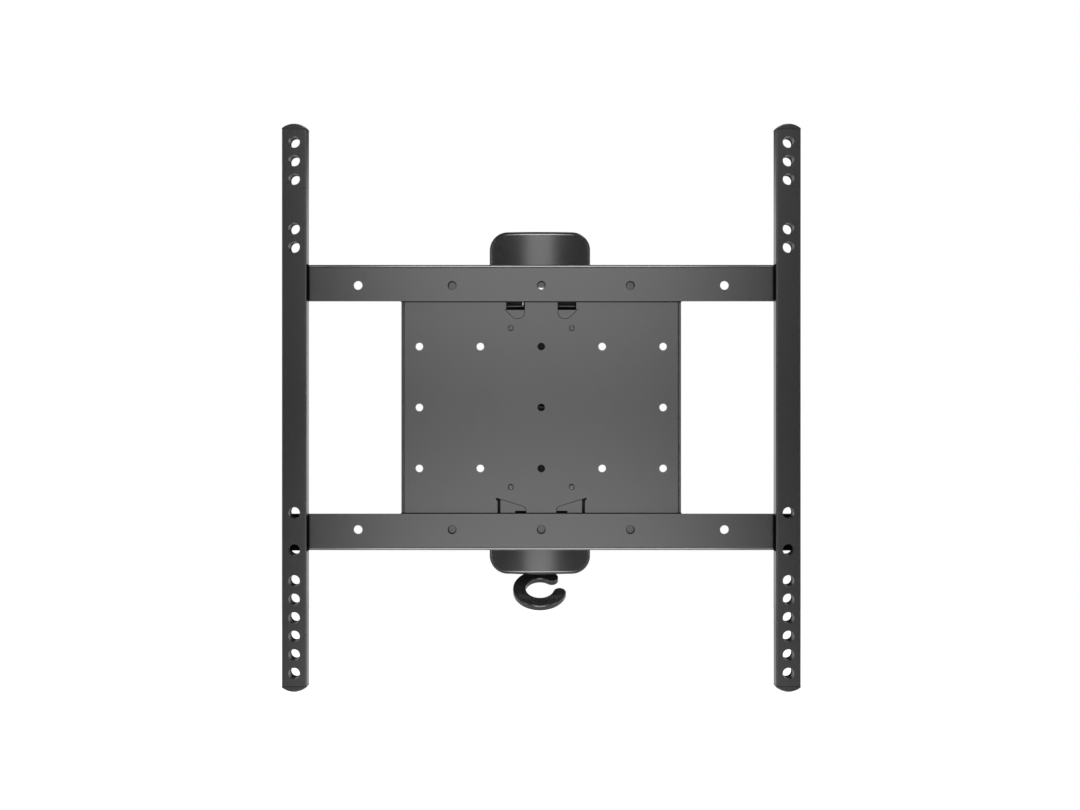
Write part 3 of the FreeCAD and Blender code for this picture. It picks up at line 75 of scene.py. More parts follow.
# The panel that mirrors behind the mount, by the parts of a ray's direction
PANEL_BEHIND = (-0.25, 0.3)
PANEL_FOOT = (-0.065, -0.035)
PANEL_TOP = (0.04, -0.01)
PANEL_SIDE = (0.05, 0.14)
PANEL_LIFT = 0.13

# Front planes and ends of the frame
BAR_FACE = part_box("top_bar")[0][1]
PLATE_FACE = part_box("vesa_plate")[0][1]
UPRIGHT_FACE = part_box("left_upright")[0][1]
UPRIGHT_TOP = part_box("left_upright")[1][2]

# An upright: half its distance and its width, its wall, its holes and the joint with its caps
UPRIGHT_X = 200 * MM
UPRIGHT_HALF = 10 * MM
UPRIGHT_WALL = 1.5 * MM
UPRIGHT_HOLE = 4.6 * MM
CAP_JOINT = 0.4 * MM

# Heights of an upright's holes: three at the head, four at set heights, six at the foot
END_ROW = UPRIGHT_TOP - 10.7 * MM
HOLE_STEP = 15 * MM
HOLE_ROWS = [END_ROW - HOLE_STEP * i for i in range(3)]
HOLE_ROWS += [145 * MM, 130 * MM, -85 * MM, -115 * MM]
HOLE_ROWS += [HOLE_STEP * i - END_ROW for i in range(6)]

# Sleeves in those holes, and dark rims of painted shade that begin some way behind the front of the bars
HOLE_SEGMENTS = 48
SLEEVE_WALL = 0.8 * MM
SLEEVE_PLAY = 0.03 * MM
RIM_DEPTH = 4.4 * MM
RIM_REACH = 0.12 * MM
RIM_TAPER = 0.1 * MM
RIM_EDGE = 0.4 * MM

# Rivets of the bars, from the middle of the frame, and the radius of their recesses
RIVET_X = 73 * MM
RIVET_Z = 100 * MM
RIVET_RECESS = 3.6 * MM
RIVET_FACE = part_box("bar_rivets")[0][1]

# Painted shade in the gap round a rivet: inner radius, how far that circle is shifted, and the share of X in
# the way it goes
GAP_INNER = 2.9 * MM
TOP_GAP_INNER = 3.0 * MM
GAP_SHIFT = 0.3 * MM
GAP_LEAN = 0.6

# Bare edge of the top middle rivet: radii, rise of the inner circle, and the height where it ends
BARE_INNER, BARE_OUTER = 2.6 * MM, 3.4 * MM
BARE_RISE = 0.65 * MM
BARE_TOP = -1.9 * MM

# Joints, drawn as dark strips that are partly the joints' own dark line and partly painted shade: where the
# bars meet the plate and the uprights, and the windows beside the upper one
BAR_INNER_EDGE = 87 * MM
BAR_JOINT = 0.75 * MM
SIDE_JOINT = 0.2 * MM
SIDE_JOINT_SINK = 1.2 * MM
SIDE_JOINT_SPAN = (87.4 * MM, 116.6 * MM)
WINDOW_SPAN = (13.4 * MM, 28.7 * MM)

# Stamped arrows: half widths of the head and the shaft, reach up and down, and their place
ARROW_HEAD, ARROW_SHAFT, ARROW_REACH = 14.7 * MM, 7.4 * MM, 15 * MM
ARROW_X = 50 * MM
ARROW_SLOPE, ARROW_FALL = 0.3 * MM, -0.27 * MM
ARROW_BACK, ARROW_GAUGE = 0.6 * MM, 0.59 * MM
ARROW_PLAY = 0.999

# What shows in the upper windows: the end of a clip, the bracket's lip and a dark sheet of painted shade in
# the hollow under it
CLIP_PLACE = (-15.1 * MM, PLATE_FACE + 7 * MM + 0.5 * MM, 86.7 * MM)
CLIP_SIZE = (1.1 * MM, 1.0 * MM, 7 * MM)
CLIP_EDGE = 0.25 * MM
LEDGE_SPAN = (14.6 * MM, 27.6 * MM)
LEDGE_NEAR, LEDGE_REACH = PLATE_FACE + 5.6 * MM, 2 * MM
LEDGE_Z, LEDGE_GAUGE, LEDGE_SLOPE = 82.9 * MM, 0.6 * MM, 0.8 * MM
SHADE_SHEET_SILL, SHADE_SHEET_GAUGE, SHADE_SHEET_PLAY = 78.0 * MM, 1 * MM, 0.8 * MM

# Threads: radius, start and end from the bolt's tip, and pitch
PIVOT_THREAD = (5 * MM, 0.75 * MM, 3 * MM, 0.75 * MM)
TILT_THREAD = (4 * MM, 0.6 * MM, 3 * MM, 0.6 * MM)
LOCK_THREAD = (3 * MM, 0.45 * MM, 1.5 * MM, 0.5 * MM)
LOCK_BOLT_TIP = 23.7 * MM

# Welds: half sizes of the box tube, radius of the barrels and of a bead's drops
TUBE_HALF_X, TUBE_HALF_Z, BARREL_RADIUS = 12.5 * MM, 25 * MM, 15 * MM
DROP_RADII = (1.25 * MM, 1.5 * MM, 1.25 * MM)
DROPS_ACROSS, DROPS_UP = 17, 31

# Grain and clouds of the finishes, in cells to the metre, and how they swing the tone and sheen
COAT_CELLS = (1400.0, 16.0)
PLASTIC_CELLS = (2600.0, 28.0)
PLATED_CELLS = (1800.0, 240.0)
FLOOR_CELLS = (300.0, 6.0)
SHEEN_SWING = 0.006
PEEL = 0.05
COAT_DEPTH = 0.0004
FINE_DEPTH = 0.0003
# Painted shade in the bracket's hollow behind the plate: depths behind the plate where it begins and where it
# is full, its dark tone and its roughness
PAINTED_SHADE_DEPTHS = (5.5 * MM, 6.5 * MM)
PAINTED_SHADE_TONE = 0.006
PAINTED_SHADE_ROUGHNESS = 0.6


# Node helpers

def node_material(name):
    """A new material with its node tree and its shader."""
    material = bpy.data.materials.new(name)
    material.use_nodes = True
    tree = material.node_tree
    return material, tree, tree.nodes["Principled BSDF"]


def add(tree, kind, **settings):
    """Adds a node; a setting goes to the input of that name, or else to the node itself."""
    node = tree.nodes.new(kind)
    for key, value in settings.items():
        name = key.replace("_", " ").title()
        if name in node.inputs:
            node.inputs[name].default_value = value
        else:
            setattr(node, key, value)
    return node


def feed(tree, socket, value):
    """Gives an input its value: a link from another socket, or a number."""
    if isinstance(value, bpy.types.NodeSocket):
        tree.links.new(value, socket)
    else:
        socket.default_value = value


def reckon(tree, operation, *values):
    """The result of a sum on one or two values."""
    node = add(tree, "ShaderNodeMath", operation=operation)
    for socket, value in zip(node.inputs, values):
        feed(tree, socket, value)
    return node.outputs["Value"]


def ramp(tree, value, ends, low=0.0, high=1.0):
    """Maps a value between two ends onto a range, and holds it beyond them."""
    node = add(tree, "ShaderNodeMapRange", from_min=ends[0], from_max=ends[1], to_min=low, to_max=high)
    tree.links.new(value, node.inputs["Value"])
    return node.outputs["Result"]


def blend(tree, share, first, second):
    """Runs from the first value to the second with the share."""
    node = add(tree, "ShaderNodeMix")
    for index, value in ((0, share), (2, first), (3, second)):
        feed(tree, node.inputs[index], value)
    return node.outputs[0]


def axes(tree, output):
    """The three parts of a texture coordinate."""
    node = add(tree, "ShaderNodeSeparateXYZ")
    tree.links.new(tree.nodes.new("ShaderNodeTexCoord").outputs[output], node.inputs[0])
    return node.outputs


def tone(tree, mask, dark, light):
    """A colour that runs from dark to light with the mask."""
    mix = add(tree, "ShaderNodeMix", data_type="RGBA")
    colours = [socket for socket in mix.inputs if socket.type == "RGBA"]
    colours[0].default_value = (*dark, 1.0)
    colours[1].default_value = (*light, 1.0)
    factor = next(socket for socket in mix.inputs if socket.type == "VALUE")
    tree.links.new(mask, factor)
    return next(socket for socket in mix.outputs if socket.type == "RGBA")


def relief(tree, height, strength, distance):
    """A bumped normal."""
    node = add(tree, "ShaderNodeBump", strength=strength, distance=distance)
    tree.links.new(height, node.inputs["Height"])
    return node.outputs["Normal"]


def finish_texture_group():
    """Grain, clouds and fine speckle that every coated, plated or moulded surface draws on."""
    group = bpy.data.node_groups.new("FinishTexture", "ShaderNodeTree")
    for name, default in (("Grain Scale", 1500.0), ("Cloud Scale", 20.0)):
        socket = group.interface.new_socket(name=name, in_out="INPUT", socket_type="NodeSocketFloat")
        socket.default_value = default
    for name in ("Grain", "Cloud", "Speck"):
        group.interface.new_socket(name=name, in_out="OUTPUT", socket_type="NodeSocketFloat")
    entry = group.nodes.new("NodeGroupInput")
    leave = group.nodes.new("NodeGroupOutput")
    place = group.nodes.new("ShaderNodeTexCoord").outputs["Object"]
    for name, source, detail in (("Grain", "Grain Scale", 2.0), ("Cloud", "Cloud Scale", 4.0)):
        texture = add(group, "ShaderNodeTexNoise", detail=detail)
        group.links.new(place, texture.inputs["Vector"])
        group.links.new(entry.outputs[source], texture.inputs["Scale"])
        group.links.new(texture.outputs["Fac"], leave.inputs[name])
    cells = add(group, "ShaderNodeTexVoronoi", feature="F1")
    group.links.new(place, cells.inputs["Vector"])
    group.links.new(entry.outputs["Grain Scale"], cells.inputs["Scale"])
    group.links.new(cells.outputs["Distance"], leave.inputs["Speck"])
    return group


def finish_texture(tree, cells):
    """The finish texture in a material, with its own sizes of grain and clouds."""
    node = add(tree, "ShaderNodeGroup")
    node.node_tree = FINISH_TEXTURE
    node.inputs["Grain Scale"].default_value, node.inputs["Cloud Scale"].default_value = cells
    return node.outputs


# Finishes

def powder_coat(name, shade, gloss, grain=1.0):
    """Black satin powder coat: a fine orange peel, and a tone and sheen that vary a little."""
    material, tree, shader = node_material(name)
    texture = finish_texture(tree, COAT_CELLS)
    dark, light = (shade * 0.96,) * 3, (shade * 1.04, shade * 1.04, shade * 1.06)
    sheen = ramp(tree, texture["Cloud"], (0.0, 1.0), gloss - SHEEN_SWING, gloss + SHEEN_SWING)
    tree.links.new(tone(tree, texture["Cloud"], dark, light), shader.inputs["Base Color"])
    tree.links.new(sheen, shader.inputs["Roughness"])
    tree.links.new(relief(tree, texture["Grain"], PEEL * grain, COAT_DEPTH), shader.inputs["Normal"])
    return material


def moulded_plastic(name, shade, gloss, grain):
    """Black plastic with the fine texture of its mould."""
    material, tree, shader = node_material(name)
    texture = finish_texture(tree, PLASTIC_CELLS)
    dark, light = (shade * 0.94,) * 3, (shade * 1.06, shade * 1.06, shade * 1.09)
    sheen = ramp(tree, texture["Cloud"], (0.0, 1.0), gloss - SHEEN_SWING, gloss + SHEEN_SWING)
    tree.links.new(tone(tree, texture["Cloud"], dark, light), shader.inputs["Base Color"])
    tree.links.new(sheen, shader.inputs["Roughness"])
    tree.links.new(relief(tree, texture["Speck"], grain, FINE_DEPTH), shader.inputs["Normal"])
    return material


def plated_steel(name, tint, gloss):
    """Zinc plate with clouds of a duller tone."""
    material, tree, shader = node_material(name)
    texture = finish_texture(tree, PLATED_CELLS)
    shader.inputs["Metallic"].default_value = 1.0
    dull = tuple(channel * 0.8 for channel in tint)
    sheen = ramp(tree, texture["Cloud"], (0.0, 1.0), gloss - 0.06, gloss + 0.08)
    tree.links.new(tone(tree, texture["Cloud"], dull, tint), shader.inputs["Base Color"])
    tree.links.new(sheen, shader.inputs["Roughness"])
    tree.links.new(relief(tree, texture["Grain"], PEEL, FINE_DEPTH), shader.inputs["Normal"])
    return material


def bracket_paint_with_painted_shade(name, shade, gloss):
    """Satin paint on the bracket's front, and painted shade, dark and dull, in the hollow behind it."""
    material, tree, shader = node_material(name)
    texture = finish_texture(tree, COAT_CELLS)
    # Painted shade: the coat turns darker and duller deeper behind the plate, where the hollow lies in shadow
    start, end = (PLATE_FACE + depth for depth in PAINTED_SHADE_DEPTHS)
    painted_shade_zone = ramp(tree, axes(tree, "Object")["Y"], (start, end))
    coat_and_painted_shade = tone(tree, painted_shade_zone, (shade,) * 3, (PAINTED_SHADE_TONE,) * 3)
    tree.links.new(coat_and_painted_shade, shader.inputs["Base Color"])
    tree.links.new(ramp(tree, painted_shade_zone, (0.0, 1.0), gloss, PAINTED_SHADE_ROUGHNESS), shader.inputs["Roughness"])
    tree.links.new(relief(tree, texture["Grain"], PEEL, COAT_DEPTH), shader.inputs["Normal"])
    return material


def upright_paint(name, shade, gloss):
    """Powder coat that loses its sheen in a line, where an upright and its end caps join."""
    material = powder_coat(name, shade, gloss)
    tree = material.node_tree
    height = reckon(tree, "ABSOLUTE", axes(tree, "Object")["Z"])
    offset = reckon(tree, "SUBTRACT", height, UPRIGHT_TOP - CAP_JOINT / 2)
    distance = reckon(tree, "ABSOLUTE", offset)
    sheen = ramp(tree, distance, (CAP_JOINT * 0.45, CAP_JOINT * 0.55), 0.0, 0.5)
    tree.links.new(sheen, tree.nodes["Principled BSDF"].inputs["Specular IOR Level"])
    return material


def painted_shade_black(name):
    """Painted shade: black without sheen, set in gaps, joints, hollows and behind holes where they lie in
    shadow.
    """
    material = powder_coat(name, 0.002, 0.7)
    material.node_tree.nodes["Principled BSDF"].inputs["Specular IOR Level"].default_value = 0.0
    return material


FINISH_TEXTURE = finish_texture_group()
PLATE_PAINT = powder_coat("PlatePaint", 0.012, 0.255)
BAR_PAINT = powder_coat("BarPaint", 0.0115, 0.245)
UPRIGHT_PAINT = upright_paint("UprightPaint", 0.006, 0.22)
ARM_PAINT = powder_coat("ArmPaint", 0.03, 0.34, 1.5)
BRACKET_PAINT_AND_SHADE = bracket_paint_with_painted_shade("BracketPaintWithPaintedShade", 0.012, 0.255)
# Painted shade for gaps, joints, hollows and the backs of holes
PAINTED_SHADE_BLACK = painted_shade_black("PaintedShadeBlack")
RIVET_PAINT = powder_coat("RivetPaint", 0.014, 0.285)
COVER_PLASTIC = moulded_plastic("CoverPlastic", 0.006, 0.225, 0.01)
CAP_PLASTIC = moulded_plastic("CapPlastic", 0.005, 0.2, 0.02)
RING_PLASTIC = moulded_plastic("RingPlastic", 0.012, 0.12, 0.004)
CLIP_PLASTIC = moulded_plastic("ClipPlastic", 0.02, 0.42, 0.08)
BUSH_PLASTIC = moulded_plastic("BushPlastic", 0.6, 0.4, 0.03)
ZINC = plated_steel("ZincPlate", (0.72, 0.73, 0.74), 0.3)
DULL_ZINC = plated_steel("DullZinc", (0.5, 0.5, 0.5), 0.45)
BARE_STEEL = plated_steel("BareSteel", (0.42, 0.42, 0.42), 0.42)
BLACK_ZINC = plated_steel("BlackZinc", (0.05, 0.05, 0.052), 0.32)
LINING_PAINT = powder_coat("LiningPaint", 0.05, 0.4)

# Every other part is zinc plated
FINISHES = {
    "vesa_plate": PLATE_PAINT, "plate_rivets": PLATE_PAINT, "top_bar": BAR_PAINT, "bottom_bar": BAR_PAINT,
    "bar_rivets": RIVET_PAINT, "left_upright": UPRIGHT_PAINT, "right_upright": UPRIGHT_PAINT,
    "arm_tube": ARM_PAINT, "wall_end_barrel": ARM_PAINT, "head_end_barrel": ARM_PAINT, "head_yoke": ARM_PAINT,
    "wall_hinge_bracket": ARM_PAINT, "wall_plate": ARM_PAINT, "tilt_bracket": BRACKET_PAINT_AND_SHADE,
    "wall_cover": COVER_PLASTIC, "upright_end_caps": CAP_PLASTIC, "cable_ring": RING_PLASTIC,
    "arm_cable_clips": CLIP_PLASTIC, "wall_end_bushes": BUSH_PLASTIC, "head_end_bushes": BUSH_PLASTIC,
    "tilt_bolt": BLACK_ZINC,
}


def dress(node, material):
    """Gives every slot of a carried-over piece the material."""
    mesh = nodes[node].data
    if not mesh.materials:
        mesh.materials.append(material)
    for index in range(len(mesh.materials)):
        mesh.materials[index] = material


def dress_all():
    for node in nodes:
        dress(node, FINISHES.get(node, ZINC))


# Small pieces

def keep_piece(name, shape, body, material, angle=40):
    """Turns a finished bmesh into a piece that moves with a body."""
    bmesh.ops.recalc_face_normals(shape, faces=shape.faces)
    mesh = bpy.data.meshes.new(name)
    shape.to_mesh(mesh)
    shape.free()
    mesh.shade_smooth()
    mesh.set_sharp_from_angle(angle=math.radians(angle))
    mesh.materials.append(material)
    piece = bpy.data.objects.new(name, mesh)
    bpy.context.collection.objects.link(piece)
    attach(piece, body)
    return piece


def turned_ring(shape, profile, centre, axis, steps=40):
    """Turns a closed profile of (radius, place along the axis) about an axis through the centre."""
    along = Vector(axis).normalized()
    outward = along.orthogonal().normalized()
    corners = [shape.verts.new(Vector(centre) + outward * radius + along * place)
               for radius, place in profile]
    edges = [shape.edges.new((corners[i - 1], corners[i])) for i in range(len(corners))]
    bmesh.ops.spin(shape, geom=corners + edges, cent=centre, axis=along, angle=math.tau, steps=steps,
                   use_merge=True, use_duplicate=False)


def bar_between(shape, section, axis, low, high):
    """Extrudes a flat outline of (first, second) places along X or Z between two ends."""
    if axis == "x":
        corners = [Vector((low, y, z)) for y, z in section]
        way = Vector((high - low, 0, 0))
    else:
        corners = [Vector((x, y, low)) for x, y in section]
        way = Vector((0, 0, high - low))
    face = shape.faces.new([shape.verts.new(corner) for corner in corners])
    extrude(shape, face, way)


def extrude(shape, face, way):
    """Draws a solid out of a face along a way, and gives back what was made."""
    grown = bmesh.ops.extrude_face_region(shape, geom=[face], use_keep_orig=True)["geom"]
    moved = [item for item in grown if isinstance(item, bmesh.types.BMVert)]
    bmesh.ops.translate(shape, verts=moved, vec=way)
    return grown


def block(shape, centre, size, turn=None):
    """Adds a box of a size at a place, turned where a turn is given."""
    made = bmesh.ops.create_cube(shape, size=1.0)["verts"]
    stretch = Matrix.Diagonal((*size, 1.0))
    placed = Matrix.Translation(centre) @ (turn or Matrix.Identity(4)) @ stretch
    bmesh.ops.transform(shape, matrix=placed, verts=made)


def line_holes(name, x, near, profile, material):
    """Sets the same turned sleeve in every hole of an upright."""
    shape = bmesh.new()
    for height in HOLE_ROWS:
        turned_ring(shape, profile, (x, near, height), (0, 1, 0), HOLE_SEGMENTS)
    keep_piece(name, shape, "screen_frame", material)


def make_hole_linings():
    """A sleeve in every hole of the uprights, from front wall to rear wall, and a dark rim of painted shade at
    its back.
    """
    sides = (("left", -UPRIGHT_X), ("right", UPRIGHT_X))
    front, back = UPRIGHT_FACE + UPRIGHT_WALL * 0.9, BAR_FACE - UPRIGHT_WALL * 0.9
    inner, outer = UPRIGHT_HOLE - SLEEVE_PLAY, UPRIGHT_HOLE + SLEEVE_WALL
    sleeve = [(inner, 0), (outer, 0), (outer, back - front), (inner, back - front)]
    for side, x in sides:
        line_holes(side + "_hole_linings", x, front, sleeve, LINING_PAINT)
    near, far = BAR_FACE - RIM_DEPTH, BAR_FACE - 0.05 * MM
    rim = UPRIGHT_HOLE - RIM_REACH
    wedge = [(rim, 0), (outer, 0), (outer, RIM_EDGE), (rim + RIM_TAPER, far - near), (rim, far - near)]
    for side, x in sides:
        line_holes(side + "_hole_rim_shade", x, near, wedge, PAINTED_SHADE_BLACK)


def crescent(shape, x, z, shift, inner, outer=RIVET_RECESS - 0.05 * MM, steps=48, rings=5):
    """A slanted ring between two circles whose centres lie apart, from a recess's rim to its floor."""
    start = BAR_FACE + 0.1 * MM
    depth = RIVET_FACE - BAR_FACE - 0.12 * MM
    turn = Matrix.Rotation(math.radians(90), 4, "X")
    loops = []
    for ring in range(rings + 1):
        share = ring / rings
        radius = outer + (inner - outer) * share
        place = start + depth * math.sin(share * math.pi / 2)
        made = bmesh.ops.create_circle(shape, segments=steps, radius=radius)["verts"]
        move = Matrix.Translation((x + shift[0] * share, place, z + shift[1] * share))
        bmesh.ops.transform(shape, matrix=move @ turn, verts=made)
        loops.append(made)
    for first, second in zip(loops, loops[1:]):
        edges = [edge for loop in (first, second) for edge in set(e for v in loop for e in v.link_edges)
                 if all(v in loop for v in edge.verts)]
        bmesh.ops.bridge_loops(shape, edges=edges)


def make_rivet_gap_shade():
    """Painted shade in the gap round each rivet of the bars, widest on its outer side, and one rivet's bare
    edge.
    """
    dark, bare = bmesh.new(), bmesh.new()
    for x in (-RIVET_X, 0.0, RIVET_X):
        for z in (-RIVET_Z, RIVET_Z):
            if x == 0 and z > 0:
                crescent(bare, x, z, (0.0, BARE_RISE), BARE_INNER, BARE_OUTER)
                upper = [face for face in bare.faces if face.calc_center_median().z > z + BARE_TOP]
                bmesh.ops.delete(bare, geom=upper, context="FACES")
                crescent(dark, x, z, (0.0, -GAP_SHIFT), TOP_GAP_INNER)
                continue
            inward = Vector((-x * GAP_LEAN, -z))
            crescent(dark, x, z, inward.normalized() * GAP_SHIFT, GAP_INNER)
    keep_piece("rivet_gap_shade", dark, "screen_frame", PAINTED_SHADE_BLACK)
    keep_piece("bare_rivet_edge", bare, "screen_frame", BARE_STEEL)


def make_seams_and_shade():
    """Dark strips in the joints where the bars lie on the plate and meet the uprights: partly the joints' own
    dark line, partly painted shade.
    """
    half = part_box("vesa_plate")[1][0]
    window_near, window_far = WINDOW_SPAN
    shape = bmesh.new()
    upper = ((-half, -window_far), (-window_near, window_near), (window_far, half))
    for side, spans in ((1, upper), (-1, ((-half, half),))):
        corner, below = BAR_INNER_EDGE * side, (BAR_INNER_EDGE - BAR_JOINT) * side
        section = [(PLATE_FACE, corner), (PLATE_FACE - BAR_JOINT, corner), (PLATE_FACE, below)]
        for low, high in spans:
            bar_between(shape, section, "x", low, high)
    inner = UPRIGHT_X - UPRIGHT_HALF
    for x_side in (-1, 1):
        section = [(inner * x_side, BAR_FACE), (inner * x_side, UPRIGHT_FACE + SIDE_JOINT_SINK),
                   ((inner - SIDE_JOINT) * x_side, BAR_FACE)]
        for z_side in (-1, 1):
            low, high = sorted(end * z_side for end in SIDE_JOINT_SPAN)
            bar_between(shape, section, "z", low, high)
    keep_piece("frame_seams_and_shade", shape, "screen_frame", PAINTED_SHADE_BLACK, 20)


def arc_points(centre, radius, start, end, steps=8):
    """Points along an arc from the start angle to the end angle, in degrees."""
    angles = [math.radians(start + (end - start) * i / steps) for i in range(steps + 1)]
    return [(centre[0] + radius * math.cos(angle), centre[1] + radius * math.sin(angle)) for angle in angles]


def make_tongue_gap_shade():
    """Painted shade in the fine gap round each tongue in the plate's windows, from places in millimetres."""
    upper = [(28.8, 79.3)] + arc_points((19.8, 78.4), 5.6, -45, -90)
    upper += arc_points((19.2, 78.4), 5.6, -90, -180) + [(13.6, 80.0)]
    lower = [(33.3, -75.2), (14.6, -80.95), (13.2, -81.9), (12.4, -83.5), (12.4, -84.7)]
    overlap, depth, width = 0.1 * MM, 0.2 * MM, 0.38 * MM
    shape = bmesh.new()
    for side in (-1, 1):
        for path in (upper, lower):
            for (x, z), (next_x, next_z) in zip(path, path[1:]):
                first, second = Vector((x * side, 0, z)) * MM, Vector((next_x * side, 0, next_z)) * MM
                way = second - first
                turn = Matrix.Rotation(-math.atan2(way.z, way.x), 4, "Y")
                middle = (first + second) / 2 + Vector((0, PLATE_FACE + 0.08 * MM, 0))
                block(shape, middle, (way.length + overlap, depth, width), turn)
    keep_piece("tongue_gap_shade", shape, "screen_frame", PAINTED_SHADE_BLACK, 20)


def make_arrow_edges():
    """The sloping edge that the stamp leaves round each arrow."""
    low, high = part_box("vesa_plate")[0][2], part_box("vesa_plate")[1][2]
    middle = (low + high) / 2
    outline = [(0.0, ARROW_REACH), (ARROW_HEAD, 0.0), (ARROW_SHAFT, 0.0), (ARROW_SHAFT, -ARROW_REACH),
               (-ARROW_SHAFT, -ARROW_REACH), (-ARROW_SHAFT, 0.0), (-ARROW_HEAD, 0.0)]
    shape = bmesh.new()
    for side in (-1, 1):
        corners = [Vector((ARROW_X * side + x * ARROW_PLAY, PLATE_FACE + ARROW_BACK, middle + z * ARROW_PLAY))
                   for x, z in outline]
        back = shape.faces.new([shape.verts.new(corner) for corner in corners])
        grown = extrude(shape, back, (0.0, -ARROW_GAUGE, 0.0))
        front = next(item for item in grown if isinstance(item, bmesh.types.BMFace))
        bmesh.ops.recalc_face_normals(shape, faces=shape.faces)
        bmesh.ops.inset_region(shape, faces=[front], thickness=ARROW_SLOPE, depth=ARROW_FALL)
    keep_piece("arrow_edges", shape, "screen_frame", PLATE_PAINT, 20)


def make_bar_painted_shade():
    """Painted shade: dark backs where a bar closes off a hole of an upright."""
    near, far = BAR_FACE - 0.3 * MM, BAR_FACE - 0.04 * MM
    low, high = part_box("bottom_bar")[0][2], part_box("bottom_bar")[1][2]
    rows = [row for row in HOLE_ROWS if low - UPRIGHT_HOLE < row < high + UPRIGHT_HOLE]
    shape = bmesh.new()
    for x in (-UPRIGHT_X, UPRIGHT_X):
        for row in rows:
            bottom, top = max(low, row - UPRIGHT_HOLE), min(high, row + UPRIGHT_HOLE)
            section = [(far, bottom), (near, bottom), (near, top), (far, top)]
            bar_between(shape, section, "x", x - UPRIGHT_HOLE, x + UPRIGHT_HOLE)
    keep_piece("bar_painted_shade", shape, "screen_frame", PAINTED_SHADE_BLACK, 20)


def make_window_clip():
    """The end of a plated clip that shows in the left upper window."""
    shape = bmesh.new()
    block(shape, CLIP_PLACE, CLIP_SIZE)
    bmesh.ops.bevel(shape, geom=list(shape.edges), affect="EDGES", offset=CLIP_EDGE, segments=2, profile=0.5,
                    material=-1)
    keep_piece("window_clip", shape, "screen_frame", DULL_ZINC)


def make_window_ledges():
    """The bracket's folded lip across each upper window, and a dark sheet of painted shade in the hollow under
    it.
    """
    near, far, back = LEDGE_NEAR, LEDGE_NEAR + LEDGE_REACH, LEDGE_NEAR + SHADE_SHEET_GAUGE
    low_edge, high_edge = LEDGE_Z, LEDGE_Z + LEDGE_GAUGE
    fold = [(near, low_edge), (near, high_edge), (far, high_edge + LEDGE_SLOPE), (far, low_edge + LEDGE_SLOPE)]
    painted_shade_zone = [(near, SHADE_SHEET_SILL), (near, LEDGE_Z), (back, LEDGE_Z), (back, SHADE_SHEET_SILL)]
    lip, shade = bmesh.new(), bmesh.new()
    for side in (-1, 1):
        low, high = sorted(end * side for end in LEDGE_SPAN)
        bar_between(lip, fold, "x", low, high)
        bar_between(shade, painted_shade_zone, "x", low - SHADE_SHEET_PLAY, high + SHADE_SHEET_PLAY)
    keep_piece("window_ledges", lip, "screen_frame", LINING_PAINT, 20)
    keep_piece("window_hollow_shade", shade, "screen_frame", PAINTED_SHADE_BLACK, 20)


def thread(shape, centre, axis, radius, low, high, pitch):
    """Ridges round a bolt's end, as a turned saw-tooth outline whose inner side lies in the shank."""
    inside, root, crest = radius - 0.4 * MM, radius - 0.02 * MM, radius + 0.16 * MM
    count = max(2, round((high - low) / pitch))
    step = (high - low) / count
    profile = [(inside, low)]
    for index in range(count):
        start = low + step * index
        profile += [(root, start + step * 0.05), (crest, start + step * 0.5)]
    profile += [(root, high - step * 0.05), (inside, high)]
    turned_ring(shape, profile, centre, axis, 36)


def make_threads():
    """Threads on the visible ends of the pivot bolts, the tilt bolt and the lock bolts."""
    pivots = (("wall_pivot_thread", "wall_pivot_bolt", "wall"), ("pan_bolt_thread", "pan_bolt", "head"))
    for name, node, body in pivots:
        low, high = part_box(node)
        shape = bmesh.new()
        thread(shape, (0.0, (low[1] + high[1]) / 2, low[2]), (0, 0, 1), *PIVOT_THREAD)
        keep_piece(name, shape, body, ZINC)
    low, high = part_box("tilt_bolt")
    middle = ((low[1] + high[1]) / 2, (low[2] + high[2]) / 2)
    shape = bmesh.new()
    thread(shape, (high[0], *middle), (-1, 0, 0), *TILT_THREAD)
    keep_piece("tilt_bolt_thread", shape, "head", BLACK_ZINC)
    low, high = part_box("tilt_lock_bolts")
    middle = ((low[1] + high[1]) / 2, (low[2] + high[2]) / 2)
    shape = bmesh.new()
    for side in (-1, 1):
        thread(shape, (LOCK_BOLT_TIP * side, *middle), (side, 0, 0), *LOCK_THREAD)
    keep_piece("lock_bolt_threads", shape, "head", ZINC)


def weld_path(axis, side):
    """Places of a bead's drops round the box tube, where it meets a barrel."""
    reach, rise = TUBE_HALF_X + 0.4 * MM, TUBE_HALF_Z + 0.2 * MM
    path = []
    for index in range(DROPS_ACROSS):
        x = reach * (2 * index / (DROPS_ACROSS - 1) - 1)
        y = axis + side * math.sqrt(BARREL_RADIUS ** 2 - min(x * x, TUBE_HALF_X ** 2))
        path += [(x, y, rise), (x, y, -rise)]
    y = axis + side * math.sqrt(BARREL_RADIUS ** 2 - TUBE_HALF_X ** 2)
    for index in range(1, DROPS_UP):
        z = TUBE_HALF_Z * (2 * index / DROPS_UP - 1)
        path += [(reach, y, z), (-reach, y, z)]
    return path


def make_welds():
    """Beads where the box tube meets the two barrels."""
    ends = (("wall_end_weld", "wall_end_barrel", -1), ("head_end_weld", "head_end_barrel", 1))
    for name, barrel, side in ends:
        low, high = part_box(barrel)
        shape = bmesh.new()
        for place in weld_path((low[1] + high[1]) / 2, side):
            made = bmesh.ops.create_uvsphere(shape, u_segments=10, v_segments=6, radius=1.0)["verts"]
            stretch = Matrix.Diagonal((*DROP_RADII, 1.0))
            bmesh.ops.transform(shape, matrix=Matrix.Translation(place) @ stretch, verts=made)
        keep_piece(name, shape, "arm", ARM_PAINT)


# Camera, light and floor

# Spread of a bare lamp and of one with a grid, in degrees
OPEN, GRID = 180, 80

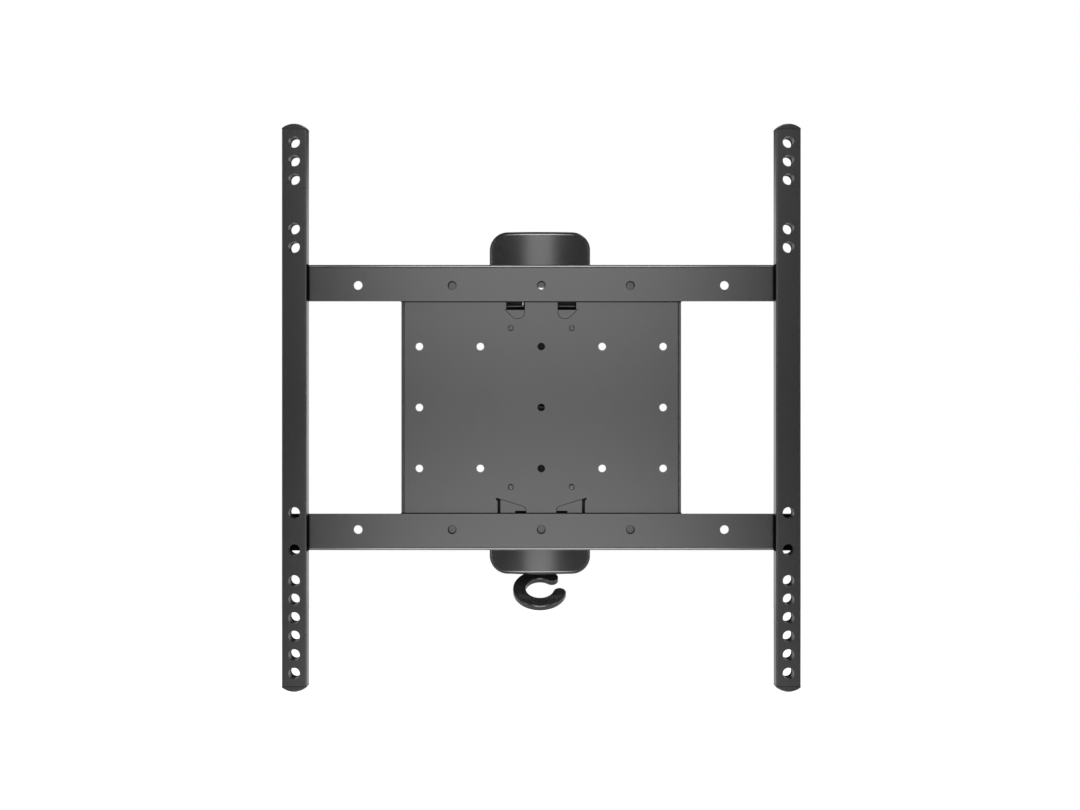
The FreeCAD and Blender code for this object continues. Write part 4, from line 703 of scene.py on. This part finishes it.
# Soft lights: name, place, aim, width, height, brightness and spread
SOFT_BOXES = (
    ("UpperSoftBox", (0.0, -1.9, 0.35), (0.0, BAR_FACE, 0.05), 0.68, 0.62, 4.1, OPEN),
    ("LowerSoftBox", (0.0, -1.9, -0.38), (0.0, BAR_FACE, -0.05), 0.68, 0.62, 4.0, OPEN),
    ("TopStrip", (0.0, -0.47, 0.46), (0.0, -0.3, 0.0), 0.34, 0.16, 15.0, OPEN),
    ("FootStrip", (0.0, -0.47, -0.46), (0.0, -0.3, 0.0), 0.4, 0.16, 14.0, OPEN),
    ("CoverTopStrip", (0.0, -0.55, 0.42), (0.0, -0.05, 0.15), 0.5, 0.12, 3.6, GRID),
    ("CoverFootStrip", (0.0, -0.55, -0.42), (0.0, -0.05, -0.15), 0.46, 0.12, 2.8, GRID),
    ("LeftPanel", (-1.4, -1.15, 0.0), (0.0, 0.0, 0.0), 0.3, 1.2, 6.0, OPEN),
    ("RightPanel", (1.4, -1.15, 0.0), (0.0, 0.0, 0.0), 0.3, 1.2, 6.0, OPEN),
    ("RearSoftBox", (1.9, 1.2, 2.5), (0.0, -0.2, 0.0), 1.8, 1.0, 5.0, OPEN),
    ("RearLeftBox", (-1.7, 2.1, 1.1), (0.0, -0.2, 0.0), 1.4, 1.2, 2.0, OPEN),
    ("RearRightBox", (1.7, 2.1, -0.1), (0.0, -0.2, 0.0), 1.2, 1.0, 1.6, OPEN),
)


def make_camera():
    """The photograph's camera, level and straight in front."""
    data = bpy.data.cameras.new("PhotoCamera")
    data.sensor_width = SENSOR
    data.sensor_fit = "HORIZONTAL"
    data.lens = FOCAL_PIXELS / PHOTO_WIDTH * SENSOR
    data.shift_x = (PHOTO_WIDTH / 2 - AXIS_PIXEL[0]) / PHOTO_WIDTH
    data.shift_y = (AXIS_PIXEL[1] - PHOTO_HEIGHT / 2) / PHOTO_WIDTH
    camera = bpy.data.objects.new("PhotoCamera", data)
    camera.location = (-CAMERA_LEFT, BAR_FACE - CAMERA_DISTANCE, CAMERA_RISE)
    camera.rotation_euler = (math.radians(90), 0, 0)
    bpy.context.collection.objects.link(camera)
    bpy.context.scene.camera = camera


def soft_box(name, place, aim, width, height, radiance, spread):
    """A soft light with its power by its size; a grid narrows its spread and brightens its middle."""
    data = bpy.data.lights.new(name, "AREA")
    data.shape = "RECTANGLE"
    data.size = width
    data.size_y = height
    data.energy = radiance * math.pi * width * height
    data.spread = math.radians(spread)
    lamp = bpy.data.objects.new(name, data)
    lamp.location = place
    lamp.rotation_euler = (Vector(aim) - Vector(place)).to_track_quat("-Z", "Y").to_euler()
    lamp.visible_camera = False
    bpy.context.collection.objects.link(lamp)


def make_lights():
    """Soft boxes behind the camera, strips above, below and beside, and boxes at the back."""
    for settings in SOFT_BOXES:
        soft_box(*settings)


def make_world():
    """White to the camera; in mirror images a dim room, with a white panel behind the mount."""
    world = bpy.data.worlds.new("WhiteRoom")
    world.use_nodes = True
    bpy.context.scene.world = world
    tree = world.node_tree
    tree.nodes.clear()
    direction = axes(tree, "Generated")
    behind = ramp(tree, direction["Y"], PANEL_BEHIND)
    lift = ramp(tree, reckon(tree, "ABSOLUTE", direction["X"]), PANEL_SIDE, 0.0, PANEL_LIFT)
    above_foot = ramp(tree, reckon(tree, "ADD", direction["Z"], lift), PANEL_FOOT)
    below_top = ramp(tree, reckon(tree, "SUBTRACT", direction["Z"], lift), PANEL_TOP)
    panel = reckon(tree, "MULTIPLY", reckon(tree, "MULTIPLY", above_foot, below_top), behind)
    room = blend(tree, panel, ramp(tree, behind, (0.0, 1.0), ROOM_DIM, ROOM_BACK), 1.0)
    path = add(tree, "ShaderNodeLightPath").outputs
    lit = blend(tree, path["Is Glossy Ray"], ROOM_FILL, room)
    through = reckon(tree, "MAXIMUM", path["Is Camera Ray"], path["Is Transmission Ray"])
    background = add(tree, "ShaderNodeBackground")
    background.inputs["Color"].default_value = (1.0, 1.0, 1.0, 1.0)
    tree.links.new(blend(tree, through, lit, 1.0), background.inputs["Strength"])
    output = add(tree, "ShaderNodeOutputWorld")
    tree.links.new(background.outputs["Background"], output.inputs["Surface"])


def make_floor():
    """A pale floor under the mount; the camera sees it as white, less the mount's shadow."""
    mesh = bpy.data.meshes.new("Floor")
    sheet = bmesh.new()
    bmesh.ops.create_grid(sheet, x_segments=1, y_segments=1, size=FLOOR_HALF)
    level = cad_box[0][2] - FLOOR_DROP
    bmesh.ops.translate(sheet, verts=sheet.verts, vec=(0.0, 0.0, level))
    sheet.to_mesh(mesh)
    sheet.free()
    floor = bpy.data.objects.new("Floor", mesh)
    bpy.context.collection.objects.link(floor)
    material, tree, shader = node_material("PaleFloor")
    shader.inputs["Roughness"].default_value = 0.9
    pale = tone(tree, finish_texture(tree, FLOOR_CELLS)["Cloud"], (0.84,) * 3, (0.88,) * 3)
    tree.links.new(pale, shader.inputs["Base Color"])
    tree.links.new(pale, shader.inputs["Emission Color"])
    camera_ray = add(tree, "ShaderNodeLightPath").outputs["Is Camera Ray"]
    tree.links.new(reckon(tree, "MULTIPLY", camera_ray, FLOOR_GLOW), shader.inputs["Emission Strength"])
    mesh.materials.append(material)


bpy.context.scene.view_settings.view_transform = "Standard"
make_camera()
make_lights()
make_world()
make_floor()
dress_all()
make_hole_linings()
make_rivet_gap_shade()
make_seams_and_shade()
make_tongue_gap_shade()
make_arrow_edges()
make_bar_painted_shade()
make_window_clip()
make_window_ledges()
make_threads()
make_welds()
